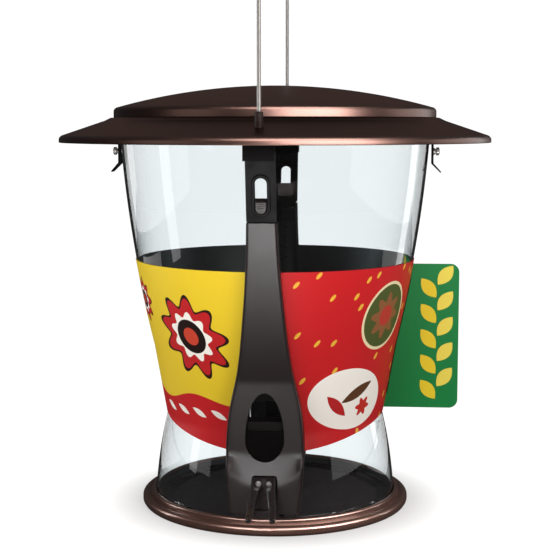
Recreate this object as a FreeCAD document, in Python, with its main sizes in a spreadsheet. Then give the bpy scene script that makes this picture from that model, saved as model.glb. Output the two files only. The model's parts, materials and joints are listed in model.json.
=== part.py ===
"""Squirrel-proof seed feeder: clear hopper, two sprung feeding gates and a roof that slides up its bail.

Millimetres. The origin is the centre of the tray's underside, +Z is up, the front column stands at -Y
and +X is to the right of a person who faces the front column. "Out" is a distance from the axis
towards a column's own side, so the front column's face lies at Y = -out.
"""
import FreeCAD
import Part
import Sketcher
import math
import os
from types import SimpleNamespace

SIZES = {
    "tray_radius": 93.8,
    "tray_rim_height": 6.6,
    "tray_rim_width": 3.2,
    "tray_edge_radius": 2.4,
    "tray_floor": 3.0,
    "ridge_radius": 86.4,
    "ridge_width": 1.6,
    "ridge_height": 9.8,
    "hopper_wall": 2.0,
    "hopper_foot_radius": 84.5,
    "hopper_waist_radius": 75.7,
    "hopper_waist_height": 64.0,
    "hopper_knee_radius": 84.1,
    "hopper_knee_height": 111.5,
    "hopper_mouth_radius": 107.5,
    "hopper_height": 267.5,
    "foot_curve": 301.0,
    "bowl_curve": 891.0,
    "hopper_flange_width": 10.0,
    "hopper_flange_thickness": 2.0,
    "hopper_screw_radius": 1.5,
    "hopper_screw_head_radius": 3.0,
    "hopper_screw_head_height": 1.8,
    "hopper_screw_tip": 0.8,
    "fit_clearance": 0.05,
    "slide_clearance": 0.3,
    "column_wall": 1.5,
    "column_foot_out": 93.0,
    "column_face_out": 89.5,
    "column_bottom": 15.0,
    "column_top": 204.0,
    "column_hopper_gap": 0.8,
    "apron_bottom": 38.0,
    "apron_top": 53.0,
    "lean_start": 100.0,
    "arm_lean": 0.22,
    "column_foot_half": 22.6,
    "column_belly_half": 25.0,
    "column_belly_low": 43.0,
    "column_belly_high": 61.0,
    "column_shoulder_half": 23.4,
    "column_shoulder_height": 79.0,
    "column_neck_half": 17.4,
    "column_neck_height": 109.0,
    "column_arm_half": 10.5,
    "column_arm_height": 180.0,
    "column_top_half": 9.6,
    "belly_curve": 107.0,
    "neck_curve": 900.0,
    "foot_tab_half": 18.0,
    "foot_tab_thickness": 1.2,
    "column_screw_spread": 11.0,
    "column_screw_height": 12.9,
    "column_screw_radius": 1.2,
    "column_screw_head_radius": 1.9,
    "column_screw_head_height": 1.2,
    "column_screw_length": 4.6,
    "window_half": 12.2,
    "window_bottom": 48.0,
    "window_top": 92.0,
    "perch_slot_half": 8.4,
    "perch_slot_bottom": 17.0,
    "perch_slot_top": 40.0,
    "port_half": 11.0,
    "port_bottom": 74.0,
    "port_top": 88.0,
    "port_wall": 2.0,
    "port_reach": 13.0,
    "port_plate_thickness": 1.2,
    "port_plate_half": 17.0,
    "port_plate_margin": 8.0,
    "gate_thickness": 1.2,
    "gate_half": 14.0,
    "gate_bottom": 33.0,
    "gate_shoulder": 96.0,
    "gate_top": 112.0,
    "gate_tongue_half": 5.0,
    "gate_window_bottom": 68.0,
    "gate_window_top": 88.5,
    "spring_shelf_depth": 2.5,
    "perch_stem_half": 7.5,
    "perch_stem_thickness": 6.5,
    "perch_stem_drop": 0.5,
    "perch_stem_reach": 4.0,
    "perch_prong_width": 4.0,
    "perch_reach": 125.0,
    "perch_tip_half": 7.5,
    "perch_crotch_half": 1.4,
    "perch_crotch_depth": 3.0,
    "perch_tip_height": 18.0,
    "perch_tip_thickness": 3.6,
    "perch_pin_radius": 1.4,
    "perch_pin_spread": 3.5,
    "perch_pin_head": 1.9,
    "perch_pin_head_height": 0.9,
    "strap_thickness": 2.0,
    "strap_half": 9.5,
    "strap_tongue_half": 7.9,
    "strap_tuck": 14.0,
    "strap_shelf_drop": 18.5,
    "strap_shelf_out": 134.0,
    "slot_half": 3.7,
    "slot_margin": 6.0,
    "slot_length": 22.0,
    "slot_frame_width": 2.2,
    "slot_frame_height": 0.9,
    "adjuster_half": 3.4,
    "adjuster_length": 7.5,
    "adjuster_knob": 1.6,
    "adjuster_flange_half": 5.4,
    "adjuster_flange_depth": 4.6,
    "adjuster_flange_drop": 1.6,
    "spring_radius": 1.9,
    "spring_wire_radius": 0.3,
    "spring_turns": 24,
    "spring_bend": 1.0,
    "spring_seat_gap": 0.3,
    "spring_low_out": 88.4,
    "spring_high_out": 106.4,
    "bail_wire_radius": 1.25,
    "bail_out": 128.0,
    "bail_tail": 6.0,
    "bail_shoulder": 378.0,
    "bail_apex": 428.0,
    "bail_shoulder_bend": 20.0,
    "bail_apex_bend": 14.0,
    "nut_radius": 3.2,
    "nut_height": 2.4,
    "roof_sheet": 1.0,
    "roof_gap": 0.5,
    "roof_radius": 150.0,
    "brim_lip_depth": 3.0,
    "brim_edge_inset": 3.0,
    "brim_edge_drop": 3.0,
    "brim_edge_curve": 4.0,
    "brim_slope_drop": 10.0,
    "brim_step_width": 4.0,
    "brim_step_drop": 2.0,
    "brim_ledge": 8.0,
    "collar_gap": 1.5,
    "collar_depth": 10.0,
    "dome_overhang": 4.5,
    "dome_margin": 1.0,
    "dome_band": 2.5,
    "dome_shoulder_inset": 10.6,
    "dome_shoulder_rise": 6.1,
    "dome_shoulder_curve": 9.0,
    "dome_crown_rise": 13.4,
    "roof_rivet_inset": 3.6,
    "roof_rivet_radius": 1.5,
    "roof_rivet_head": 2.8,
    "roof_rivet_head_height": 1.2,
    "roof_rivet_count": 6,
    "grommet_radius": 2.6,
    "grommet_rise": 3.0,
    "grommet_drop": 10.0,
    "grommet_wire_gap": 0.2,
    "clip_gap": 2.5,
    "clip_pin_drop": 6.0,
    "clip_pin_radius": 1.0,
    "clip_eye_radius": 1.9,
    "clip_half": 5.8,
    "clip_sheet": 1.2,
    "clip_strip_length": 24.0,
    "clip_tab_flare": 4.6,
    "clip_tab_drop": 7.0,
    "clip_ear_thickness": 1.2,
    "clip_ear_gap": 0.3,
    "clip_ear_half": 1.85,
    "clip_ear_drop": 2.4,
    "knob_radius": 2.8,
    "knob_length": 4.2,
    "knob_shank_radius": 1.2,
    "knob_drop": 16.0,
    "label_gap": 0.15,
    "label_thickness": 0.4,
    "label_top": 172.0,
    "label_dip": 51.0,
    "label_curve": 210.0,
    "label_reach": 112.0,
    "tag_gap": 0.2,
    "tag_thickness": 0.6,
    "tag_plane": 2.0,
    "tag_out": 128.6,
    "tag_bottom": 66.0,
    "tag_top": 168.0,
    "tag_corner": 6.0,
    "tag_flap": 11.0,
    "tag_flap_margin": 10.0,
}

PLANE_TURNS = {
    "XY": FreeCAD.Rotation(),
    "XZ": FreeCAD.Rotation(FreeCAD.Vector(1, 0, 0), 90),
    "YZ": FreeCAD.Rotation(FreeCAD.Vector(1, 1, 1), 120),
}
PLANE_NORMALS = {
    "XY": ("z", FreeCAD.Vector(0, 0, 1)),
    "XZ": ("y", FreeCAD.Vector(0, 1, 0)),
    "YZ": ("x", FreeCAD.Vector(1, 0, 0)),
}
AXIS_TURNS = {
    "x": FreeCAD.Rotation(FreeCAD.Vector(0, 1, 0), 90),
    "y": FreeCAD.Rotation(FreeCAD.Vector(1, 0, 0), -90),
    "z": FreeCAD.Rotation(),
}
HALF_TURN = FreeCAD.Placement(FreeCAD.Vector(), FreeCAD.Rotation(FreeCAD.Vector(0, 0, 1), 180))
LEFT_OF_TRAVEL = 1
RIGHT_OF_TRAVEL = -1

doc = FreeCAD.newDocument("SeedFeeder")
nodes = []


class Size:
    """A number together with the sheet expression that gives it, so that sums keep both."""

    def __init__(self, number, text):
        self.number = number
        self.text = text

    def __add__(self, other):
        return joined(self, other, "+", lambda a, b: a + b)

    def __radd__(self, other):
        return joined(other, self, "+", lambda a, b: a + b)

    def __sub__(self, other):
        return joined(self, other, "-", lambda a, b: a - b)

    def __rsub__(self, other):
        return joined(other, self, "-", lambda a, b: a - b)

    def __mul__(self, other):
        return joined(self, other, "*", lambda a, b: a * b)

    def __rmul__(self, other):
        return joined(other, self, "*", lambda a, b: a * b)

    def __truediv__(self, other):
        return joined(self, other, "/", lambda a, b: a / b)

    def __neg__(self):
        return joined(0.0, self, "-", lambda a, b: a - b)


def as_size(value):
    """Give a plain number the form of a Size."""
    if isinstance(value, Size):
        return value
    return Size(float(value), f"({float(value)})")


def joined(left, right, sign, rule):
    """Combine two sizes by one arithmetic rule."""
    left, right = as_size(left), as_size(right)
    return Size(rule(left.number, right.number), f"({left.text} {sign} {right.text})")


def root(value):
    """Square root of a size."""
    return Size(math.sqrt(value.number), f"sqrt({value.text})")


def write_sheet():
    """Put every driving size into the document's sheet and return them by name."""
    sheet = doc.addObject("Spreadsheet::Sheet", "Sizes")
    for row, (alias, number) in enumerate(SIZES.items(), start=1):
        sheet.set(f"A{row}", alias)
        sheet.set(f"B{row}", str(number))
        sheet.setAlias(f"B{row}", alias)
    doc.recompute()
    return SimpleNamespace(**{alias: Size(sheet.get(alias), f"Sizes.{alias}") for alias in SIZES})


def bind(thing, path, value):
    """Drive one property of a document object by a size."""
    thing.setExpression(path, as_size(value).text)


def put_at(thing, place, turn=FreeCAD.Rotation()):
    """Turn an object and drive its place by three sizes."""
    start = FreeCAD.Vector(*[as_size(value).number for value in place])
    thing.Placement = FreeCAD.Placement(start, turn)
    for letter, value in zip("xyz", place):
        bind(thing, f"Placement.Base.{letter}", value)


def arc_between(start, end, radius, side):
    """Arc of under half a circle from start to end that bulges to one side of the travel."""
    chord = end - start
    left = FreeCAD.Vector(-chord.y, chord.x, 0).normalize()
    depth = math.sqrt(radius ** 2 - (chord.Length / 2) ** 2)
    centre = (start + end) * 0.5 - left * depth * side
    first, last = (end, start) if side == LEFT_OF_TRAVEL else (start, end)
    angles = [math.atan2(point.y - centre.y, point.x - centre.x) for point in (first, last)]
    return Part.ArcOfCircle(Part.Circle(centre, FreeCAD.Vector(0, 0, 1), radius), *angles)


def outline(name, plane, corners, closed=True):
    """Sketch through corners (x, y), where (x, y, (radius, side)) starts an arc to the next corner."""
    sketch = doc.addObject("Sketcher::SketchObject", name)
    sketch.Placement = FreeCAD.Placement(FreeCAD.Vector(), PLANE_TURNS[plane])
    points = [FreeCAD.Vector(as_size(c[0]).number, as_size(c[1]).number, 0) for c in corners]
    count = len(corners) if closed else len(corners) - 1
    shapes, ends, rules, drives = [], [], [], []
    for index in range(count):
        start, end = points[index], points[(index + 1) % len(points)]
        if len(corners[index]) == 2:
            shapes.append(Part.LineSegment(start, end))
            ends.append((1, 2))
            continue
        radius, side = corners[index][2]
        shapes.append(arc_between(start, end, as_size(radius).number, side))
        ends.append((2, 1) if side == LEFT_OF_TRAVEL else (1, 2))
        rules.append(Sketcher.Constraint("Radius", index, as_size(radius).number))
        drives.append(radius)
    for index in range(count):
        after = (index + 1) % len(corners)
        if after < count:
            rules.append(Sketcher.Constraint("Coincident", index, ends[index][1], after, ends[after][0]))
            drives.append(None)
    for index, corner in enumerate(corners):
        shape, place = (index, ends[index][0]) if index < count else (index - 1, ends[index - 1][1])
        for rule, value in zip(("DistanceX", "DistanceY"), corner):
            rules.append(Sketcher.Constraint(rule, shape, place, as_size(value).number))
            drives.append(value)
    sketch.addGeometry(shapes, False)
    sketch.addConstraint(rules)
    for index, value in enumerate(drives):
        if isinstance(value, Size):
            bind(sketch, f"Constraints[{index}]", value)
    return sketch


def extrude(name, plane, corners, low, high):
    """Straight solid of an outline, between two places along the plane's normal."""
    sketch = outline(f"{name}_outline", plane, corners)
    letter, normal = PLANE_NORMALS[plane]
    low, high = as_size(low), as_size(high)
    sketch.Placement.Base = normal * low.number
    bind(sketch, f"Placement.Base.{letter}", low)
    solid = doc.addObject("Part::Extrusion", name)
    solid.Base = sketch
    solid.DirMode = "Custom"
    solid.Dir = normal
    solid.Solid = True
    bind(solid, "LengthFwd", high - low)
    return solid


def revolve(name, corners):
    """Solid of revolution about Z of corners (radius, height)."""
    solid = doc.addObject("Part::Revolution", name)
    solid.Source = outline(f"{name}_outline", "XZ", corners)
    solid.Axis = FreeCAD.Vector(0, 0, 1)
    solid.Base = FreeCAD.Vector(0, 0, 0)
    solid.Angle = 360
    solid.Solid = True
    return solid


def box(name, low, high):
    """Box between two corners."""
    solid = doc.addObject("Part::Box", name)
    for side, start, end in zip(("Length", "Width", "Height"), low, high):
        bind(solid, side, as_size(end) - start)
    put_at(solid, low)
    return solid


def cylinder(name, radius, start, length, axis="z"):
    """Cylinder from a start point along a row axis."""
    solid = doc.addObject("Part::Cylinder", name)
    bind(solid, "Radius", radius)
    bind(solid, "Height", length)
    put_at(solid, start, AXIS_TURNS[axis])
    return solid


def cut(name, base, *tools):
    """Take tools away from a base, one after another."""
    for index, tool in enumerate(tools, start=1):
        step = doc.addObject("Part::Cut", name if index == len(tools) else f"{name}_cut_{index}")
        step.Base = base
        step.Tool = tool
        base = step
    return base


def merged(kind, name, shapes):
    """Join, intersect or group several objects."""
    result = doc.addObject(kind, name)
    setattr(result, "Links" if kind == "Part::Compound" else "Shapes", list(shapes))
    return result


def fuse(name, *shapes):
    """One solid of several that touch or overlap."""
    return merged("Part::MultiFuse", name, shapes)


def common(name, *shapes):
    """What several solids share."""
    return merged("Part::MultiCommon", name, shapes)


def group(name, shapes):
    """Separate solids that share one node."""
    return merged("Part::Compound", name, shapes)


def node(thing, name, rear=False):
    """Label a finished sub-part and, for the rear set, turn it to the rear."""
    thing.Label = name
    if rear:
        thing.Placement = HALF_TURN
    nodes.append(thing)
    return thing


def around(count, radius, phase=0.0):
    """Places evenly round a circle, as pairs of sizes."""
    for index in range(count):
        angle = 2 * math.pi * (index + phase) / count
        yield radius * round(math.cos(angle), 9), radius * round(math.sin(angle), 9)


s = write_sheet()

# Levels and planes that several pieces share
hopper_foot = s.tray_floor
wall_inner_out = s.column_face_out - s.column_wall
gate_front_out = wall_inner_out - s.slide_clearance
gate_back_out = gate_front_out - s.gate_thickness
port_plate_out = gate_back_out - s.slide_clearance
port_plate_back = port_plate_out - s.port_plate_thickness
column_floor_top = s.column_bottom + s.column_wall
brim_underside = s.hopper_height + s.roof_gap
brim_seat = brim_underside + s.roof_sheet
strap_bottom = s.column_top - s.strap_tuck
strap_shelf = s.hopper_height - s.strap_shelf_drop
strap_shelf_top = strap_shelf + s.strap_thickness
slot_bottom = s.column_top + s.slot_margin
slot_top = slot_bottom + s.slot_length
bail_foot = strap_shelf - s.bail_tail
perch_top = s.perch_slot_top - s.perch_stem_drop
perch_underside = perch_top - s.perch_stem_thickness
perch_front_out = s.column_foot_out + s.perch_stem_reach


def face_out(height):
    """Out distance of a column's leaning outer face at a height above the lean's start."""
    return s.column_face_out + s.arm_lean * (height - s.lean_start)


def hopper_envelope(name, offset, bottom=None, top=None):
    """Filled hourglass of the hopper's outer wall, grown by an offset.

    The wall is an arc from the foot to the waist, a straight flare to the knee and an arc to the mouth.
    """
    bottom = hopper_foot if bottom is None else bottom
    top = s.hopper_height if top is None else top
    foot = s.hopper_foot_radius + offset
    mouth = s.hopper_mouth_radius + offset
    return revolve(name, [
        (0, bottom),
        (foot, bottom, (s.foot_curve, RIGHT_OF_TRAVEL)),
        (s.hopper_waist_radius + offset, s.hopper_waist_height),
        (s.hopper_knee_radius + offset, s.hopper_knee_height, (s.bowl_curve, RIGHT_OF_TRAVEL)),
        (mouth, top),
        (0, top),
    ])


def column_half_outline(inset, bottom, top, side):
    """One edge of a column's front outline, drawn in by an inset, from the bottom up."""
    def half(size):
        return side * (size - inset)

    bulge = RIGHT_OF_TRAVEL
    return [
        (half(s.column_foot_half), bottom),
        (half(s.column_belly_half), s.column_belly_low),
        (half(s.column_belly_half), s.column_belly_high, (s.belly_curve, bulge)),
        (half(s.column_shoulder_half), s.column_shoulder_height),
        (half(s.column_neck_half), s.column_neck_height, (s.neck_curve, -bulge)),
        (half(s.column_arm_half), s.column_arm_height),
        (half(s.column_top_half), top),
    ]


def column_outline(inset, bottom, top):
    """Closed front outline of a column: up its right edge and down its left edge."""
    right = column_half_outline(inset, bottom, top, 1)
    left = column_half_outline(inset, bottom, top, -1)
    down = []
    for index in range(len(left) - 1, -1, -1):
        corner = left[index][:2]
        before = left[index - 1] if index else ()
        down.append(corner + before[2:] if len(before) == 3 else corner)
    return right + down


def build_tray():
    """Round dish with a rolled outer rim and a raised ridge round the hopper's foot."""
    ridge_inner = s.ridge_radius - s.ridge_width
    rim_inner = s.tray_radius - s.tray_rim_width
    dish = revolve("tray_dish", [
        (0, 0),
        (s.tray_radius - s.tray_edge_radius, 0, (s.tray_edge_radius, RIGHT_OF_TRAVEL)),
        (s.tray_radius, s.tray_edge_radius),
        (s.tray_radius, s.tray_rim_height - s.tray_rim_width / 2,
         (s.tray_rim_width / 2, RIGHT_OF_TRAVEL)),
        (s.tray_radius - s.tray_rim_width / 2, s.tray_rim_height),
        (rim_inner, s.tray_rim_height - s.tray_rim_width / 4),
        (s.ridge_radius, s.ridge_height),
        (ridge_inner, s.ridge_height),
        (ridge_inner, s.tray_floor),
        (0, s.tray_floor),
    ])
    hole_radius = s.hopper_screw_radius + s.fit_clearance
    hole_bottom = s.hopper_screw_tip - s.fit_clearance
    holes = [
        cylinder(f"tray_screw_hole_{index}", hole_radius, (x, y, hole_bottom), s.tray_floor)
        for index, (x, y) in enumerate(hopper_screw_places())
    ]
    node(cut("tray_body", dish, *holes), "base_tray")


def hopper_screw_places():
    """Four places on the hopper's foot flange, clear of the columns."""
    circle = s.hopper_foot_radius - s.hopper_wall - s.hopper_flange_width / 2
    return list(around(4, circle, 0.5))


def build_hopper():
    """Clear hourglass wall, open at the top, with a foot flange and two port openings."""
    flange_top = hopper_foot + s.hopper_flange_thickness
    hole = s.hopper_foot_radius - s.hopper_wall - s.hopper_flange_width
    margin = s.port_wall + s.fit_clearance
    tools = [
        hopper_envelope("hopper_cavity", -s.hopper_wall, bottom=flange_top),
        cylinder("hopper_foot_hole", hole, (0, 0, 0), flange_top + s.hopper_flange_thickness),
        box("hopper_ports",
            (-s.port_half - margin, -s.column_face_out, s.port_bottom - margin),
            (s.port_half + margin, s.column_face_out, s.port_top + margin)),
    ]
    radius = s.hopper_screw_radius + s.fit_clearance
    for index, (x, y) in enumerate(hopper_screw_places()):
        tools.append(cylinder(f"hopper_screw_hole_{index}", radius, (x, y, 0), flange_top * 2))
    for index, (x, turn) in enumerate(column_screw_places()):
        start = (x, -s.column_face_out * turn, s.column_screw_height)
        hole = cylinder(f"hopper_column_hole_{index}", s.column_screw_radius + s.fit_clearance, start,
                        s.column_face_out - s.hopper_foot_radius / 2, "y")
        if turn < 0:
            hole.Placement.Rotation = AXIS_TURNS["y"] * FreeCAD.Rotation(FreeCAD.Vector(1, 0, 0), 180)
        tools.append(hole)
    node(cut("hopper_wall", hopper_envelope("hopper_outside", as_size(0)), *tools), "hopper")

    screws = []
    for index, (x, y) in enumerate(hopper_screw_places()):
        shank = cylinder(f"hopper_screw_shank_{index}", s.hopper_screw_radius,
                         (x, y, s.hopper_screw_tip), flange_top - s.hopper_screw_tip)
        head = cylinder(f"hopper_screw_head_{index}", s.hopper_screw_head_radius,
                        (x, y, flange_top), s.hopper_screw_head_height)
        screws.append(fuse(f"hopper_screw_{index}", shank, head))
    node(group("hopper_screw_set", screws), "hopper_screws")


def column_screw_places():
    """X place of each column screw, with 1 for the front column and -1 for the rear one."""
    return [(side * s.column_screw_spread, turn) for turn in (1, -1) for side in (1, -1)]


def build_column_screws():
    """Pan-head screws that hold each column's foot tab to the hopper's foot.

    The head is flat and the tab is round, so the head seats where its inner edge meets the tab.
    """
    tab_face = s.ridge_radius - s.fit_clearance
    head_edge = s.column_screw_spread - s.column_screw_head_radius
    screws = []
    for index, (x, turn) in enumerate(column_screw_places()):
        face = root(tab_face * tab_face - head_edge * head_edge)
        turned = AXIS_TURNS["y"]
        if turn < 0:
            turned = turned * FreeCAD.Rotation(FreeCAD.Vector(1, 0, 0), 180)
        shank = cylinder(f"column_screw_shank_{index}", s.column_screw_radius,
                         (x, -face * turn, s.column_screw_height), s.column_screw_length, "y")
        head = cylinder(f"column_screw_head_{index}", s.column_screw_head_radius,
                        (x, -(face + s.column_screw_head_height) * turn, s.column_screw_height),
                        s.column_screw_head_height, "y")
        shank.Placement.Rotation = turned
        head.Placement.Rotation = turned
        screws.append(fuse(f"column_screw_{index}", shank, head))
    node(group("column_screw_set", screws), "column_screws")


def build_column(side, rear):
    """Sheet channel that widens downwards, with a feeding window, an apron and a perch slot."""
    reach = s.column_top * s.arm_lean + s.column_foot_out
    back = s.hopper_waist_radius / 2
    outer = common(
        f"{side}_column_block",
        extrude(f"{side}_column_front", "XZ", column_outline(as_size(0), s.column_bottom, s.column_top),
                -reach, -back),
        extrude(f"{side}_column_side", "YZ", [
            (-back, s.column_bottom),
            (-s.column_foot_out, s.column_bottom),
            (-s.column_foot_out, s.apron_bottom),
            (-s.column_face_out, s.apron_top),
            (-s.column_face_out, s.lean_start),
            (-face_out(s.column_top), s.column_top),
            (-back, s.column_top),
        ], -s.column_belly_half, s.column_belly_half))
    hollow_top = s.column_top + s.column_wall
    hollow = common(
        f"{side}_column_hollow",
        extrude(f"{side}_hollow_front", "XZ", column_outline(s.column_wall, column_floor_top, hollow_top),
                -reach, -back),
        extrude(f"{side}_hollow_side", "YZ", [
            (-back, column_floor_top),
            (s.column_wall - s.column_foot_out, column_floor_top),
            (s.column_wall - s.column_foot_out, s.apron_bottom),
            (-wall_inner_out, s.apron_top),
            (-wall_inner_out, s.lean_start),
            (s.column_wall - face_out(hollow_top), hollow_top),
            (-back, hollow_top),
        ], -s.column_belly_half, s.column_belly_half))
    window = extrude(f"{side}_window", "XZ", obround(s.window_half, s.window_bottom, s.window_top),
                     -reach, -gate_front_out)
    slot = box(f"{side}_perch_slot", (-s.perch_slot_half, -reach, s.perch_slot_bottom),
               (s.perch_slot_half, -gate_front_out, s.perch_slot_top))
    envelope = hopper_envelope(f"{side}_column_room", s.column_hopper_gap)
    shell = cut(f"{side}_column_shell", outer, hollow, envelope, window, slot)

    tab_outer = s.ridge_radius - s.fit_clearance
    ring = revolve(f"{side}_tab_ring", [
        (tab_outer - s.foot_tab_thickness, s.ridge_height),
        (tab_outer, s.ridge_height),
        (tab_outer, column_floor_top),
        (tab_outer - s.foot_tab_thickness, column_floor_top),
    ])
    sector = box(f"{side}_tab_sector", (-s.foot_tab_half, -s.tray_radius, s.ridge_height),
                 (s.foot_tab_half, -back, column_floor_top))
    holes = [
        cylinder(f"{side}_tab_hole_{index}", s.column_screw_radius + s.fit_clearance,
                 (x, -s.column_foot_out, s.column_screw_height), s.column_foot_out - back, "y")
        for index, x in enumerate((s.column_screw_spread, -s.column_screw_spread))
    ]
    tab = cut(f"{side}_tab", common(f"{side}_tab_blank", ring, sector), *holes)
    node(fuse(f"{side}_column_body", shell, tab), f"{side}_column", rear)


def build_strap(side, rear):
    """Slotted arm from inside the column's top up to the shelf that the bail is bolted to."""
    def outer(height):
        return -(face_out(height) - s.column_wall)

    def inner(height):
        return outer(height) + s.strap_thickness

    profile = extrude(f"{side}_strap_side", "YZ", [
        (outer(strap_bottom), strap_bottom),
        (outer(strap_shelf), strap_shelf),
        (-s.strap_shelf_out, strap_shelf),
        (-s.strap_shelf_out, strap_shelf_top),
        (inner(strap_shelf_top), strap_shelf_top),
        (inner(strap_bottom), strap_bottom),
    ], -s.strap_half, s.strap_half)
    shoulder = s.column_top + s.fit_clearance
    front = extrude(f"{side}_strap_front", "XZ", [
        (s.strap_tongue_half, strap_bottom),
        (s.strap_tongue_half, shoulder),
        (s.strap_half, shoulder),
        (s.strap_half, strap_shelf_top),
        (-s.strap_half, strap_shelf_top),
        (-s.strap_half, shoulder),
        (-s.strap_tongue_half, shoulder),
        (-s.strap_tongue_half, strap_bottom),
    ], -s.strap_shelf_out, -s.hopper_waist_radius)
    frame_low = slot_bottom - s.slot_frame_width
    frame_high = slot_top + s.slot_frame_width
    frame_half = s.slot_half + s.slot_frame_width
    frame_side = extrude(f"{side}_slot_frame_side", "YZ", [
        (outer(frame_low) - s.slot_frame_height, frame_low),
        (outer(frame_high) - s.slot_frame_height, frame_high),
        (inner(frame_high), frame_high),
        (inner(frame_low), frame_low),
    ], -frame_half, frame_half)
    frame_front = extrude(f"{side}_slot_frame_front", "XZ", obround(frame_half, frame_low, frame_high),
                          -s.strap_shelf_out, -s.hopper_waist_radius)
    frame = common(f"{side}_slot_frame", frame_side, frame_front)
    slot = extrude(f"{side}_strap_slot", "XZ", obround(s.slot_half, slot_bottom, slot_top),
                   -s.strap_shelf_out, -s.hopper_waist_radius)
    hole = cylinder(f"{side}_bail_hole", s.bail_wire_radius + s.fit_clearance,
                    (0, -s.bail_out, strap_shelf - s.nut_height), s.nut_height * 3)
    blank = fuse(f"{side}_strap_blank", common(f"{side}_strap_strip", profile, front), frame)
    node(cut(f"{side}_strap_body", blank, slot, hole), f"{side}_strap", rear)


def obround(half, low, high):
    """Upright slot outline with round ends, of a half width, between two heights."""
    bend = (half, RIGHT_OF_TRAVEL)
    return [
        (half, low + half),
        (half, high - half, bend),
        (0, high, bend),
        (-half, high - half),
        (-half, low + half, bend),
        (0, low, bend),
    ]


def build_adjuster(side, rear):
    """Block that slides in the strap's slot, with a flange behind it that holds the spring's top."""
    low = slot_bottom + s.slide_clearance
    high = low + s.adjuster_length

    def front(height):
        return -(face_out(height) - s.column_wall + s.slot_frame_height + s.adjuster_knob)

    def flange_front(height):
        return -(face_out(height) - s.column_wall - s.strap_thickness - s.slide_clearance)

    def flange_back(height):
        return flange_front(height) + s.adjuster_flange_depth

    flange_low = low - s.adjuster_flange_drop
    block = extrude(f"{side}_adjuster_block", "YZ", [
        (front(low), low),
        (front(high), high),
        (flange_back(high), high),
        (flange_back(low), low),
    ], -s.adjuster_half, s.adjuster_half)
    rounded = common(f"{side}_adjuster_rounded", block, extrude(
        f"{side}_adjuster_front", "XZ", [
            (s.adjuster_half, high),
            (-s.adjuster_half, high),
            (-s.adjuster_half, low + s.adjuster_half, (s.adjuster_half, RIGHT_OF_TRAVEL)),
            (0, low, (s.adjuster_half, RIGHT_OF_TRAVEL)),
            (s.adjuster_half, low + s.adjuster_half),
        ], -s.strap_shelf_out, -s.hopper_waist_radius))
    flange = extrude(f"{side}_adjuster_flange", "YZ", [
        (flange_front(flange_low), flange_low),
        (flange_front(high), high),
        (flange_back(high), high),
        (flange_back(flange_low), flange_low),
    ], -s.adjuster_flange_half, s.adjuster_flange_half)
    node(fuse(f"{side}_adjuster_body", rounded, flange), f"{side}_tension_adjuster", rear)


def build_port(side, rear):
    """Mouth from the hopper to the gate, and the rails that the gate slides between."""
    plate_low = s.port_bottom - s.port_plate_margin
    plate_high = s.port_top + s.port_plate_margin
    plate = box(f"{side}_port_plate", (-s.port_plate_half, -port_plate_out, plate_low),
                (s.port_plate_half, -port_plate_back, plate_high))
    tube = box(f"{side}_port_tube",
               (-s.port_half - s.port_wall, -port_plate_out, s.port_bottom - s.port_wall),
               (s.port_half + s.port_wall, s.port_reach - port_plate_back, s.port_top + s.port_wall))
    mouth = box(f"{side}_port_mouth", (-s.port_half, -s.column_face_out, s.port_bottom),
                (s.port_half, s.port_reach, s.port_top))
    frame = cut(f"{side}_port_body", fuse(f"{side}_port_blank", plate, tube), mouth)
    node(frame, f"{side}_port_frame", rear)

    rail_inner = s.gate_half + s.slide_clearance
    rails = [
        box(f"{side}_rail_right", (rail_inner, -wall_inner_out, plate_low),
            (s.port_plate_half, -port_plate_out, plate_high)),
        box(f"{side}_rail_left", (-s.port_plate_half, -wall_inner_out, plate_low),
            (-rail_inner, -port_plate_out, plate_high)),
    ]
    node(group(f"{side}_rail_pair", rails), f"{side}_gate_guides", rear)


def build_gate(side, rear):
    """Sliding plate with a window, a tongue with a spring shelf, and holes for the perch pins."""
    plate = extrude(f"{side}_gate_plate", "XZ", [
        (s.gate_half, s.gate_bottom),
        (s.gate_half, s.gate_shoulder),
        (s.gate_tongue_half, s.gate_shoulder),
        (s.gate_tongue_half, s.gate_top),
        (-s.gate_tongue_half, s.gate_top),
        (-s.gate_tongue_half, s.gate_shoulder),
        (-s.gate_half, s.gate_shoulder),
        (-s.gate_half, s.gate_bottom),
    ], -gate_front_out, -gate_back_out)
    shelf = box(f"{side}_gate_shelf", (-s.gate_tongue_half, -gate_front_out, s.gate_top),
                (s.gate_tongue_half, s.spring_shelf_depth - gate_front_out, s.gate_top + s.gate_thickness))
    window = box(f"{side}_gate_window", (-s.port_half, -s.column_face_out, s.gate_window_bottom),
                 (s.port_half, -port_plate_back, s.gate_window_top))
    node(cut(f"{side}_gate_body", fuse(f"{side}_gate_blank", plate, shelf), window,
             *pin_holes(f"{side}_gate")), f"{side}_gate", rear)


def pin_height():
    """Height of the perch pins: the middle of the perch's stem."""
    return perch_underside + s.perch_stem_thickness / 2


def pin_holes(name):
    """Bores for the two perch pins, through the stem and the gate."""
    return [
        cylinder(f"{name}_pin_hole_{index}", s.perch_pin_radius + s.fit_clearance,
                 (x, -s.perch_reach, pin_height()), s.perch_reach, "y")
        for index, x in enumerate((s.perch_pin_spread, -s.perch_pin_spread))
    ]


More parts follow.
